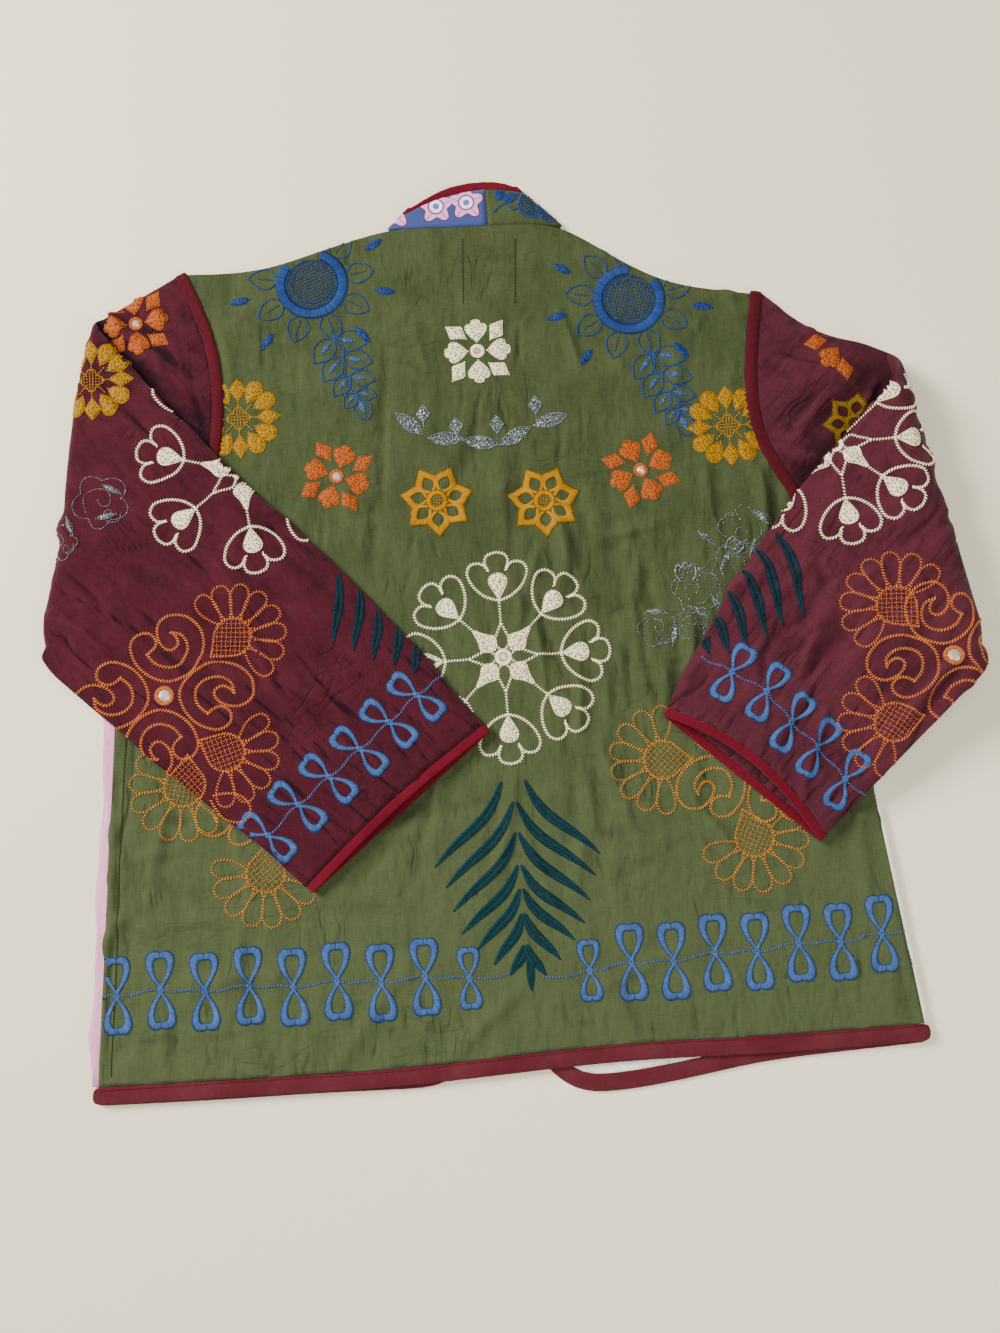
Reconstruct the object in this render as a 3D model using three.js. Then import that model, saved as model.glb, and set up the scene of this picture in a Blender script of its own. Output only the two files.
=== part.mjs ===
// A quilted patchwork jacket laid face down on a table, with both sleeves folded over its back.
// Millimetres, +Z up. In the drawing's own frame x = 0 is near the centre-back line, +x is the wearer's
// right, y = 0 is the back hem, +y runs up to the collar and z = 0 is the table. The finished group is
// moved so that its origin is the middle of its underside.
//
// Every piece is a wall of cloth. Two walls lie on each other to make the body and each sleeve: the
// lower wall is the front of the jacket, against the table, and the upper wall is its back.
import * as THREE from 'three';

// ---- Driving dimensions -------------------------------------------------------------------------
const WALL = 2.2;               // quilted cotton: two layers and a thin fill
const SEAM = 0.3;               // gap between pieces that are sewn together
const LAYER_GAP = 0.6;          // gap between two walls that lie on each other
const STACK = 2 * WALL + LAYER_GAP;       // height of a tube of cloth pressed flat
const MIDDLE = STACK / 2;                 // its middle height, and the outer radius of its side folds
const INNER_RADIUS = LAYER_GAP / 2;       // the inner radius of those side folds

const HEM_BINDING = 12;         // width of the binding on the hem and the front opening
const COLLAR_BINDING = 6.7;     // width of the binding on the collar's upper edge
const CUFF_BINDING = 6.7;       // width of the binding on each cuff
const BINDING_PROUD = 0.4;      // how far a binding stands above the cloth beside it
const PIPING = 7;               // width of the padded piping round each armhole
const PIPING_PROUD = 1.4;       // how far it stands above the back

const WRAP_START = 30;          // length over which a side fold opens out below the armhole
const FRONT_WALL = { low: 0, high: WALL };
const BACK_WALL = { low: WALL + LAYER_GAP, high: STACK };
const FRONT_BINDING = { low: 0, high: WALL + 0.15 };
const BACK_BINDING = { low: WALL + 0.45, high: STACK + BINDING_PROUD };

// Number of facets along each stretch of an outline.
const FACETS = {
  side: 7, armhole: 8, shoulder: 5, neck: 6,
  frontNeck: 6, hem: 11, corner: 5, opening: 10, wrap: 4,
  sleeveCrease: 3, upperArm: 4, roll: 8, forearm: 9,
  bandTurn: 4, bandFront: 6,
};

// The back's hem is not quite level: each row is a place on it.
const BACK_HEM = [
  { x: -305, y: 0 }, { x: -200, y: -2 }, { x: -90, y: -3 },
  { x: 64, y: 2 }, { x: 170, y: 0 }, { x: 281, y: 0 },
];

// The neckline of the back, from the left shoulder to the right.
const NECKLINE = [{ x: -59, y: 627 }, { x: 0, y: 625 }, { x: 57, y: 623 }, { x: 71, y: 620 }];

// The two sides of the jacket. outward is the sign of x that leads away from the middle.
//   shoulder  points on the shoulder seam, from the armhole to the neck (both ends are found elsewhere)
//   armhole   points on the armhole seam, from the shoulder down to the underarm
//   sideEnd   where the side fold meets the hem, on the axis of the fold
//   strip     how much of the front shows beside the back, because the side seam lies on top
//   hem       points on the front's hem, from the side to the start of its round corner
//   corner    radius of that corner; openingTop and openingFoot are the ends of the front opening
const SIDES = {
  left: {
    outward: -1,
    shoulder: [{ x: -160, y: 601 }, { x: -105, y: 616 }],
    armhole: [
      { x: -218, y: 601 }, { x: -198, y: 548 }, { x: -196, y: 480 }, { x: -221, y: 400 }, { x: -280, y: 336 },
    ],
    sideEnd: { x: -304.5, y: 0 },
    strip: 5,
    hem: [{ x: -304.5, y: -1 }, { x: -224, y: -3 }, { x: -148, y: -4 }, { x: -75, y: -6 }],
    corner: 45,
    openingFoot: -30,
    openingTop: { x: 1, y: 528 },
  },
  right: {
    outward: 1,
    shoulder: [{ x: 143, y: 571 }, { x: 100, y: 600 }],
    armhole: [
      { x: 214, y: 555 }, { x: 203, y: 490 }, { x: 205, y: 442 }, { x: 227, y: 400 }, { x: 252, y: 312 },
    ],
    sideEnd: { x: 280.5, y: 0 },
    strip: 4,
    hem: [{ x: 280.5, y: -1 }, { x: 161, y: -6 }, { x: 118, y: -12 }, { x: 75, y: -17 }, { x: 49, y: -18 }],
    corner: 45,
    openingFoot: 4,
    openingTop: { x: 4, y: 528 },
  },
};

// The sleeves. Each one is a tube pressed flat that leaves the armhole and is folded back over itself
// about a slanting roll, so that its cuff lies on the back of the jacket.
//   foldTop, foldFoot  ends of the roll's outer edge, seen from above
//   sway               how far that edge wanders from straight
//   rollRadius         height of the roll's axis above the table
//   cuffTop, cuffFoot  corners of the cuff where it lies on the back
//   bow, sag           how far the shoulder crease bows out past the roll, and sags in before it
//   rest               height of the folded part's underside: a row for each distance from the roll
//   gape               how far the cuff's two walls stand apart; gapeAt is the place of the widest gap
//   setback            how far the cuff's upper wall lies back from its lower wall
//   softFolds          ridges on the upper wall: across the sleeve, from and to along it, height, width
const SLEEVES = {
  left: {
    foldTop: { x: -285, y: 568 }, foldFoot: { x: -335, y: 322 }, sway: 3.5, rollRadius: 7.7,
    cuffTop: { x: -10, y: 240 }, cuffFoot: { x: -144, y: 134 }, bow: 0, sag: 0,
    rest: [{ far: 0, height: 10.4 }, { far: 60, height: 7.6 }, { far: 120, height: 7.1 },
      { far: 175, height: 5.9 }, { far: 500, height: 5.9 }],
    gape: 3, gapeAt: 0.5, setback: 4,
    softFolds: [
      { across: 0.3, from: 0.1, to: 0.8, height: 2.2, width: 0.14 },
      { across: 0.7, from: 0.3, to: 1.0, height: 2.6, width: 0.16 },
    ],
  },
  right: {
    foldTop: { x: 312, y: 492 }, foldFoot: { x: 349, y: 273 }, sway: 0, rollRadius: 19,
    cuffTop: { x: 114, y: 242 }, cuffFoot: { x: 218, y: 143 }, bow: 13, sag: 9,
    rest: [{ far: 0, height: 33 }, { far: 50, height: 22 }, { far: 105, height: 9 },
      { far: 150, height: 6 }, { far: 500, height: 6 }],
    gape: 15, gapeAt: 0.35, setback: 11,
    softFolds: [
      { across: 0.62, from: 0.0, to: 0.9, height: 4.0, width: 0.16 },
      { across: 0.3, from: 0.1, to: 0.7, height: 3.0, width: 0.14 },
    ],
  },
};

// The standing collar, pressed flat. Its back shows above the neckline and it turns under at both
// sides. Each row has the place along the neckline (0 left, 1 right) and the top edge above it.
const COLLAR_SEAM_AT = 0.575;   // the centre-back seam
const COLLAR_TOP = {
  left: [{ at: COLLAR_SEAM_AT, x: 16, y: 654 }, { at: 0.3, x: -15, y: 652 }, { at: 0, x: -47, y: 638 }],
  right: [{ at: COLLAR_SEAM_AT, x: 16, y: 654 }, { at: 0.84, x: 34, y: 652 }, { at: 1, x: 43, y: 649 }],
};
const COLLAR_FRONT_HEIGHT = 29; // height of the collar round the front of the neck

// ---- Colours of the pieces ----------------------------------------------------------------------
const cotton = (color, roughness = 0.88) =>
  new THREE.MeshStandardMaterial({ color, roughness, metalness: 0, side: THREE.FrontSide });
const COLOURS = {
  green: '#5c6b3a', maroon: '#5a2030', rose: '#64303e', pink: '#e6aac8', cream: '#efe8d6',
  print: '#d79fc4', red: '#961428', hemRed: '#802834', darkRed: '#781426',
};

// ---- Small helpers for points in the plan -------------------------------------------------------
const mix = (a, b, t) => a + (b - a) * t;
const mixPoint = (p, q, t) => ({ x: mix(p.x, q.x, t), y: mix(p.y, q.y, t) });
const addScaled = (p, d, s) => ({ x: p.x + d.x * s, y: p.y + d.y * s });
const between = (p, q) => ({ x: q.x - p.x, y: q.y - p.y });
const dot = (p, q) => p.x * q.x + p.y * q.y;
const unit = (p) => addScaled({ x: 0, y: 0 }, p, 1 / Math.hypot(p.x, p.y));
const turnLeft = (p) => ({ x: -p.y, y: p.x });
const smooth = (t) => t * t * (3 - 2 * t);
const clamp01 = (t) => Math.min(1, Math.max(0, t));
const steps = (count) => Array.from({ length: count + 1 }, (_, i) => i / count);

// A smooth curve through the rows of a table: returns a function of t from 0 to 1.
function curveThrough(rows) {
  const curve = new THREE.CatmullRomCurve3(rows.map((row) => new THREE.Vector3(row.x, row.y, 0)));
  return (t) => {
    const point = curve.getPointAt(t);
    return { x: point.x, y: point.y };
  };
}

const sample = (curve, count) => steps(count).map(curve);
const reversed = (points) => [...points].reverse();
// Lists of points end to end: each one starts where the one before it ends.
const joined = (first, ...rest) => rest.reduce((all, list) => [...all, ...list.slice(1)], first);

// The same polyline moved sideways, to the left of its own direction.
function offsetPolyline(points, distance) {
  return points.map((point, i) => {
    const before = points[Math.max(0, i - 1)];
    const after = points[Math.min(points.length - 1, i + 1)];
    return addScaled(point, turnLeft(unit(between(before, after))), distance);
  });
}

// Fills four edges with a grid: bottom and top run along a row, left and right up the rows.
function filledGrid(bottom, top, left, right) {
  const rows = left.length - 1;
  const columns = bottom.length - 1;
  return left.map((_, i) => bottom.map((__, j) => {
    const t = i / rows;
    const s = j / columns;
    const blend = (axis) => {
      const upDown = mix(bottom[j][axis], top[j][axis], t);
      const leftRight = mix(left[i][axis], right[i][axis], s);
      const lower = mix(bottom[0][axis], bottom[columns][axis], s);
      const upper = mix(top[0][axis], top[columns][axis], s);
      return upDown + leftRight - mix(lower, upper, t);
    };
    return { x: blend('x'), y: blend('y') };
  }));
}

// ---- Building closed solids ---------------------------------------------------------------------
// Collects triangles, shares the points that coincide and drops triangles without area.
function makeGeometry(triangles) {
  const ids = new Map();
  const positions = [];
  const idOf = (point) => {
    const name = point.map((value) => Math.round(value * 1e4)).join(',');
    if (!ids.has(name)) {
      ids.set(name, ids.size);
      positions.push(...point);
    }
    return ids.get(name);
  };
  const faces = triangles.map((corners) => corners.map(idOf))
    .filter(([a, b, c]) => a !== b && b !== c && c !== a);
  const at = (id) => new THREE.Vector3().fromArray(positions, id * 3);
  const volume = faces.reduce((sum, [a, b, c]) => sum + at(a).dot(at(b).cross(at(c))) / 6, 0);
  const outwards = volume > 0 ? faces : faces.map(([a, b, c]) => [a, c, b]);
  const geometry = new THREE.BufferGeometry();
  geometry.setAttribute('position', new THREE.Float32BufferAttribute(positions, 3));
  geometry.setIndex(outwards.flat());
  geometry.computeVertexNormals();
  return geometry;
}

// Two triangles for each cell of a grid of points in space.
function gridTriangles(grid, flipped = false) {
  const triangles = [];
  for (let i = 0; i + 1 < grid.length; i++) {
    for (let j = 0; j + 1 < grid[i].length; j++) {
      const [a, b, c, d] = [grid[i][j], grid[i][j + 1], grid[i + 1][j + 1], grid[i + 1][j]];
      triangles.push([a, b, c], [a, c, d]);
    }
  }
  return flipped ? triangles.map(([a, b, c]) => [a, c, b]) : triangles;
}

// A closed wall from a grid: place(entry, 0) and place(entry, 1) give its two faces.
function wallFromGrid(grid, place) {
  const inner = grid.map((row) => row.map((entry) => place(entry, 0)));
  const outer = grid.map((row) => row.map((entry) => place(entry, 1)));
  const last = grid.length - 1;
  const column = (faces, j) => faces.map((row) => row.at(j));
  return makeGeometry([
    ...gridTriangles(outer), ...gridTriangles(inner, true),
    ...gridTriangles([inner[0], outer[0]]), ...gridTriangles([outer[last], inner[last]]),
    ...gridTriangles([column(outer, 0), column(inner, 0)]),
    ...gridTriangles([column(inner, -1), column(outer, -1)]),
  ]);
}

// A closed tube of cloth, open at both ends, from two grids whose rows are closed loops.
function tubeFromLoops(outer, inner) {
  const close = (grid) => grid.map((loop) => [...loop, loop[0]]);
  const outside = close(outer);
  const inside = close(inner);
  const last = outer.length - 1;
  return makeGeometry([
    ...gridTriangles(outside), ...gridTriangles(inside, true),
    ...gridTriangles([inside[0], outside[0]]), ...gridTriangles([outside[last], inside[last]]),
  ]);
}

const atHeights = (wall) => (point, face) => [point.x, point.y, face ? wall.high : wall.low];

// ---- Outlines shared by the back, the fronts and the trims ---------------------------------------
const neckline = curveThrough(NECKLINE);
const backHem = curveThrough(BACK_HEM);

// The direction of the armhole seam, down towards the underarm, at t from 0 to 1.
function armholeAlong(side, t) {
  const curve = side.armholeCurve;
  return unit(between(curve(Math.max(0, t - 0.01)), curve(Math.min(1, t + 0.01))));
}

// The armhole seam moved towards the sleeve (positive) or into the body (negative).
function armholeAt(side, t, distance) {
  return addScaled(side.armholeCurve(t), turnLeft(armholeAlong(side, t)), distance * side.outward);
}

const armholeEdge = (side, distance, count) => steps(count).map((t) => armholeAt(side, t, distance));

const BODY_EDGE = PIPING / 2 + SEAM;   // how far the body's cloth stays inside the armhole seam

for (const side of Object.values(SIDES)) {
  side.armholeCurve = curveThrough(side.armhole);
  side.tip = armholeAt(side, 0, -BODY_EDGE);
  side.underarm = armholeAt(side, 1, -BODY_EDGE);
  side.neckPoint = side.outward < 0 ? NECKLINE[0] : NECKLINE.at(-1);
  side.shoulderCurve = curveThrough([side.tip, ...side.shoulder, side.neckPoint]);
}

// ---- Folding ------------------------------------------------------------------------------------
// A fold turns cloth by half a turn about a level axis. Flat places are told by how far they lie
// beyond the axis; the cloth's neutral line keeps its length.
function makeFold({ start, end, outward, axisHeight, neutral, sway = 0, rest = null }) {
  const along = unit(between(start, end));
  const length = Math.hypot(end.x - start.x, end.y - start.y);
  const across = turnLeft(along);
  const beyond = addScaled({ x: 0, y: 0 }, across, Math.sign(across.x * outward));
  const arc = Math.PI * neutral;
  const wander = (s) => sway * Math.sin(2 * Math.PI * clamp01(s / length));
  const parts = (point) => {
    const offset = between(start, point);
    const s = dot(offset, along);
    return { s, d: dot(offset, beyond) - wander(s) };
  };
  const place = (s, d) => addScaled(addScaled(start, along, s), beyond, d + wander(s));
  // Height lost by the folded part on its way down from the roll to where it rests.
  const lowering = (far) => {
    if (!rest) return 0;
    const next = rest.findIndex((row) => row.far >= far);
    if (next <= 0) return 0;
    const [a, b] = [rest[next - 1], rest[next]];
    return rest[0].height - mix(a.height, b.height, smooth((far - a.far) / (b.far - a.far)));
  };
  return {
    arc,
    beyond,
    parts,
    // Where a flat point at height h goes.
    apply(point, h) {
      const { s, d } = parts(point);
      if (d <= 0) return [point.x, point.y, h];
      const radius = axisHeight - h;
      if (d < arc) {
        const angle = d / neutral;
        const bent = place(s, radius * Math.sin(angle));
        return [bent.x, bent.y, axisHeight - radius * Math.cos(angle)];
      }
      const laid = place(s, arc - d);
      return [laid.x, laid.y, axisHeight + radius - lowering(d - arc)];
    },
    // The flat place of a point that lies folded over.
    unfold(point) {
      const { s, d } = parts(point);
      return place(s, arc - d);
    },
  };
}

// ---- The back -----------------------------------------------------------------------------------
// How far in from the axis of the side fold the back starts, at t from the hem up to the underarm.
function stripAt(side, distanceBelow) {
  return smooth(clamp01(distanceBelow / WRAP_START)) * (side.strip - MIDDLE);
}

// The place on the axis of the side fold at height y above the hem line.
function sideFoot(side, y) {
  return mixPoint(side.sideEnd, side.underarm, y / side.underarm.y);
}

function sideLine(side, inset) {
  const length = Math.hypot(side.underarm.x - side.sideEnd.x, side.underarm.y - side.sideEnd.y);
  const foot = sideFoot(side, HEM_BINDING + SEAM);
  return steps(FACETS.side).map((t) => {
    const point = mixPoint(foot, side.underarm, t);
    return { x: point.x - side.outward * inset((1 - t) * length), y: point.y };
  });
}

function backPanel() {
  const edges = Object.fromEntries(Object.entries(SIDES).map(([name, side]) => {
    const seam = sideLine(side, (below) => (below > 0 ? SEAM : 0) + stripAt(side, below));
    return [name, joined(seam, reversed(armholeEdge(side, -BODY_EDGE, FACETS.armhole)))];
  }));
  const top = joined(
    sample(SIDES.left.shoulderCurve, FACETS.shoulder),
    sample(neckline, FACETS.neck),
    reversed(sample(SIDES.right.shoulderCurve, FACETS.shoulder)),
  );
  const hemLine = top.map((_, j) => {
    const t = j / (top.length - 1);
    return { x: mix(edges.left[0].x, edges.right[0].x, t), y: backHem(t).y + HEM_BINDING + SEAM };
  });
  edges.left[0] = hemLine[0];
  edges.right[0] = hemLine.at(-1);
  return wallFromGrid(filledGrid(hemLine, top, edges.left, edges.right), atHeights(BACK_WALL));
}

function backHemBinding() {
  const low = sample(backHem, FACETS.hem * 2);
  const high = low.map((point) => ({ x: point.x, y: point.y + HEM_BINDING }));
  return wallFromGrid([low, high], atHeights(BACK_BINDING));
}

// ---- The fronts ---------------------------------------------------------------------------------
// The finished edge of a front, from its side along the hem, round the corner and up the opening.
function frontEdge(side) {
  const hem = sample(curveThrough(side.hem), FACETS.hem);
  const last = side.hem.at(-1);
  const centre = { x: last.x, y: last.y + side.corner };
  const corner = steps(FACETS.corner).map((t) => {
    const angle = t * Math.PI / 2;
    return {
      x: centre.x - side.outward * side.corner * Math.sin(angle),
      y: centre.y - side.corner * Math.cos(angle),
    };
  });
  corner[corner.length - 1].x = side.openingFoot;
  const opening = steps(FACETS.opening).map((t) => mixPoint(corner.at(-1), side.openingTop, t));
  return { hem, whole: joined(hem, corner, opening) };
}

// The front of the neck: a quarter of an ellipse from the shoulder to the top of the opening,
// at t from 0 to 1, moved into the neck opening by a distance.
function frontNeck(side, t, inwards) {
  const centre = { x: side.openingTop.x, y: side.neckPoint.y };
  const wide = Math.abs(side.neckPoint.x - centre.x) - inwards;
  const deep = side.neckPoint.y - side.openingTop.y - inwards;
  const angle = t * Math.PI / 2;
  return {
    x: centre.x + side.outward * wide * Math.cos(angle),
    y: centre.y - deep * Math.sin(angle),
  };
}

function frontPanel(side) {
  const { hem, whole } = frontEdge(side);
  const inner = offsetPolyline(whole, (HEM_BINDING + SEAM) * -side.outward);
  inner[0] = sideFoot(side, HEM_BINDING + SEAM);
  const hemCount = hem.length - 1;
  const bottom = inner.slice(0, hemCount + 1);
  const opening = inner.slice(hemCount);
  const neckEdge = steps(FACETS.frontNeck).map((t) => frontNeck(side, t, 0));
  // The neck's edge ends where the binding of the opening begins.
  const [beforeLast, last] = neckEdge.slice(-2);
  const corner = mixPoint(beforeLast, last, (opening.at(-1).x - beforeLast.x) / (last.x - beforeLast.x));
  opening[opening.length - 1] = corner;
  neckEdge[neckEdge.length - 1] = corner;
  const sideSeam = sideLine(side, () => 0);
  sideSeam[0] = inner[0];
  const outerEdge = joined(sideSeam, reversed(armholeEdge(side, -BODY_EDGE, FACETS.armhole)));
  const topEdge = joined(sample(side.shoulderCurve, FACETS.shoulder), neckEdge);
  return { flat: filledGrid(bottom, topEdge, outerEdge, opening), fold: sideFold(side), side };
}

const SIDE_NEUTRAL = (MIDDLE + INNER_RADIUS) / 2;

const sideFold = (side) => makeFold({
  start: side.sideEnd, end: side.underarm, outward: side.outward, axisHeight: MIDDLE, neutral: SIDE_NEUTRAL,
});

// A front's grid goes on past the axis of its side fold, up and over to the side seam.
function frontWall({ flat, fold, side }) {
  const past = [...steps(FACETS.wrap).slice(1).map((t) => t * fold.arc), fold.arc + side.strip - MIDDLE];
  const away = fold.beyond;
  const grid = flat.map((row, i) => {
    const opened = i > FACETS.side ? 0 : smooth(clamp01((side.underarm.y - row[0].y) / WRAP_START));
    const wrapped = past.map((distance) => addScaled(row[0], away, distance * opened));
    return [...reversed(wrapped), ...row];
  });
  return wallFromGrid(grid, (point, face) => fold.apply(point, face ? WALL : 0));
}

function frontBinding(side) {
  const { whole } = frontEdge(side);
  const inner = offsetPolyline(whole, HEM_BINDING * -side.outward);
  const outer = [...whole];
  inner[0] = { x: whole[0].x, y: whole[0].y + HEM_BINDING };
  const top = side.openingTop.y - SEAM;
  for (const edge of [inner, outer]) edge[edge.length - 1] = { x: edge.at(-1).x, y: top };
  return wallFromGrid([outer, inner], atHeights(FRONT_BINDING));
}

// ---- Sleeves and the rings round them -----------------------------------------------------------
// A loop round a pressed tube: base runs across it between the middles of its two creases, out and
// up point from there to the surface. The lower wall comes first, then the underarm crease.
const LOOP = [
  ...steps(FACETS.armhole).map((t) => ({ base: t, out: 0, up: -1 })),
  ...steps(FACETS.sleeveCrease).slice(1, -1).map((t) => creasePoint(1, (t - 0.5) * Math.PI)),
  ...steps(FACETS.armhole).map((t) => ({ base: 1 - t, out: 0, up: 1 })),
  ...steps(FACETS.sleeveCrease).slice(1, -1).map((t) => creasePoint(0, (0.5 - t) * Math.PI)),
];

function creasePoint(base, angle) {
  return { base, out: (base ? 1 : -1) * Math.cos(angle), up: Math.sin(angle) };
}

const CLOTH_SKIN = {
  outer: { across: MIDDLE, low: MIDDLE, high: MIDDLE },
  inner: { across: INNER_RADIUS, low: INNER_RADIUS, high: INNER_RADIUS },
};
const PIPING_SKIN = {
  outer: { across: MIDDLE, low: MIDDLE, high: MIDDLE + PIPING_PROUD },
  inner: CLOTH_SKIN.inner,
};
const CUFF_SKIN = {
  outer: { across: MIDDLE, low: MIDDLE + BINDING_PROUD, high: MIDDLE + BINDING_PROUD / 2 },
  inner: CLOTH_SKIN.inner,
};

// Everything about one sleeve that its cloth and its cuff binding share.
function sleevePlan(side, shape) {
  const inwards = { x: -side.outward, y: 0 };
  const axis = (point) => addScaled(point, inwards, shape.rollRadius);
  const fold = makeFold({
    start: axis(shape.foldTop), end: axis(shape.foldFoot), outward: side.outward,
    axisHeight: shape.rollRadius, neutral: shape.rollRadius - MIDDLE, sway: shape.sway, rest: shape.rest,
  });
  const cuff = { top: fold.unfold(shape.cuffTop), foot: fold.unfold(shape.cuffFoot) };
  const downCuff = unit(between(cuff.top, cuff.foot));
  const crease = {
    top: addScaled(cuff.top, downCuff, MIDDLE),
    foot: addScaled(cuff.foot, downCuff, -MIDDLE),
  };
  const start = (v) => armholeAt(side, v, PIPING / 2 + SEAM);
  const end = (v) => mixPoint(crease.top, crease.foot, v);
  // Share of the way from armhole to cuff at which the line v crosses a distance past the axis.
  const crossing = (v, distance) => {
    const from = fold.parts(start(v)).d;
    return (distance - from) / (fold.parts(end(v)).d - from);
  };
  const skew = Math.log(0.5) / Math.log(shape.gapeAt);
  const gape = (v, w) => shape.gape * w * w * Math.sin(Math.PI * v ** skew);
  const ridges = (v, w) => shape.softFolds.reduce((sum, row) => {
    if (w <= row.from || w >= row.to) return sum;
    const lengthwise = Math.sin(Math.PI * (w - row.from) / (row.to - row.from));
    return sum + row.height * lengthwise * Math.exp(-(((v - row.across) / row.width) ** 2));
  }, 0);
  return { side, shape, fold, start, end, downCuff, crossing, gape, ridges };
}

// The stations of a sleeve: upper arm, roll and forearm. trim shortens the forearm by the width of
// the binding. before and past are how far along the upper arm and the forearm a station is, from 0
// to 1; at gives a place on the pressed tube.
function sleeveStations(plan, trim) {
  const { side, shape, fold, start, end, downCuff, crossing } = plan;
  const shares = [
    ...steps(FACETS.upperArm).map((t) => ({
      before: t, past: 0, share: (v) => t * crossing(v, 0),
    })),
    ...steps(FACETS.roll).slice(1).map((t) => ({
      before: 1, past: 0, share: (v) => crossing(v, t * fold.arc),
    })),
    ...steps(FACETS.forearm).slice(1).map((t) => ({
      before: 1, past: t, share: (v) => mix(crossing(v, fold.arc), 1, t),
    })),
  ];
  return shares.map(({ before, past, share }) => ({
    past,
    at: (v, out, up) => {
      const here = share(v);
      const across = unit(mixPoint(armholeAlong(side, v), downCuff, here));
      const sagIn = shape.sag * Math.sin(Math.PI * before) - shape.bow * Math.sin(Math.PI * past);
      const setback = up < 0 ? shape.setback * Math.sin(Math.PI * v) : 0;
      const spot = addScaled(mixPoint(start(v), end(v), here), across, out + sagIn * (1 - v) ** 2);
      return addScaled(spot, unit(between(start(v), end(v))), -(trim + setback) * past);
    },
  }));
}

function sleeveLoops(plan, stations, skin) {
  return ['outer', 'inner'].map((face) => stations.map((station) => LOOP.map(({ base, out, up }) => {
    const reach = skin[face];
    const lift = up < 0 ? up * reach.low : up * reach.high;
    const flat = out === 0 && up < 0 ? Math.sin(Math.PI * base) : 0;
    const open = flat && plan.gape(base, station.past);
    const ridge = flat * plan.ridges(base, station.past);
    const height = MIDDLE + lift - open - ridge;
    return plan.fold.apply(station.at(base, out * reach.across, up), height);
  })));
}

const sleeveCloth = (plan) =>
  tubeFromLoops(...sleeveLoops(plan, sleeveStations(plan, CUFF_BINDING + SEAM), CLOTH_SKIN));

// The cuff's binding goes on where the cloth ends.
function cuffBinding(plan) {
  const last = (trim) => sleeveStations(plan, trim).at(-1);
  return tubeFromLoops(...sleeveLoops(plan, [last(CUFF_BINDING), last(0)], CUFF_SKIN));
}

// The piping lies in the armhole seam, round the back and the front.
function armholePiping(side) {
  const rings = ['outer', 'inner'].map((face) => [-PIPING / 2, PIPING / 2].map((distance) =>
    LOOP.map(({ base, out, up }) => {
      const reach = PIPING_SKIN[face];
      const spot = addScaled(armholeAt(side, base, distance), armholeAlong(side, base), out * reach.across);
      return [spot.x, spot.y, MIDDLE + (up < 0 ? up * reach.low : up * reach.high)];
    })));
  return tubeFromLoops(...rings);
}

// ---- The collar ---------------------------------------------------------------------------------
// Rows along one half of the collar, from the centre back to the front opening: the seam edge, the
// top edge, the way out of the turn and how far the band has turned under.
function collarRows(name) {
  const side = SIDES[name];
  const rows = COLLAR_TOP[name].map(({ at, x, y }) => ({ seam: neckline(at), top: { x, y }, turn: 0 }));
  rows[0].seam.x = rows[0].top.x;
  const last = rows.at(-1);
  const edge = turnLeft(unit(between(last.seam, last.top)));
  const away = edge.x * side.outward > 0 ? edge : addScaled({ x: 0, y: 0 }, edge, -1);
  const turning = steps(FACETS.bandTurn).slice(1).map((t) => ({ ...last, turn: t * Math.PI }));
  const front = steps(FACETS.bandFront).slice(1).map((t) => ({
    seam: frontNeck(side, t, 0), top: frontNeck(side, t, COLLAR_FRONT_HEIGHT), turn: Math.PI,
  }));
  return [...rows, ...turning, ...front].map((row) => ({ ...row, away }));
}

// A band whose walls turn about the middle height; from and to are distances past an edge.
function bandGrid(rows, from, to) {
  return rows.map(({ seam, top, turn, away }) => {
    const up = unit(between(seam, top));
    const ends = [addScaled(from.top ? top : seam, up, from.by), addScaled(top, up, to)];
    return ends.map((point) => ({ point, turn, away }));
  });
}

function bandWall(grid, proud) {
  return wallFromGrid(grid, ({ point, turn, away }, face) => {
    const radius = face ? MIDDLE + proud * (1 + Math.cos(turn)) / 2 : INNER_RADIUS - proud / 4;
    const spot = addScaled(point, away, radius * Math.sin(turn));
    return [spot.x, spot.y, MIDDLE + radius * Math.cos(turn)];
  });
}

function collarHalf(name) {
  const rows = collarRows(name);
  if (name === 'right') {
    for (const edge of ['seam', 'top']) rows[0][edge] = addScaled(rows[0][edge], { x: 1, y: 0 }, SEAM);
  }
  return bandWall(bandGrid(rows, { by: SEAM }, 0), 0);
}

function collarBinding() {
  const rows = [...reversed(collarRows('left')), ...collarRows('right').slice(1)];
  return bandWall(bandGrid(rows, { top: true, by: SEAM }, SEAM + COLLAR_BINDING), BINDING_PROUD);
}

// ---- Putting the jacket together ----------------------------------------------------------------
const jacket = new THREE.Group();

function addPiece(name, geometry, color) {
  const mesh = new THREE.Mesh(geometry, cotton(color));
  mesh.name = name;
  jacket.add(mesh);
}

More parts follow.
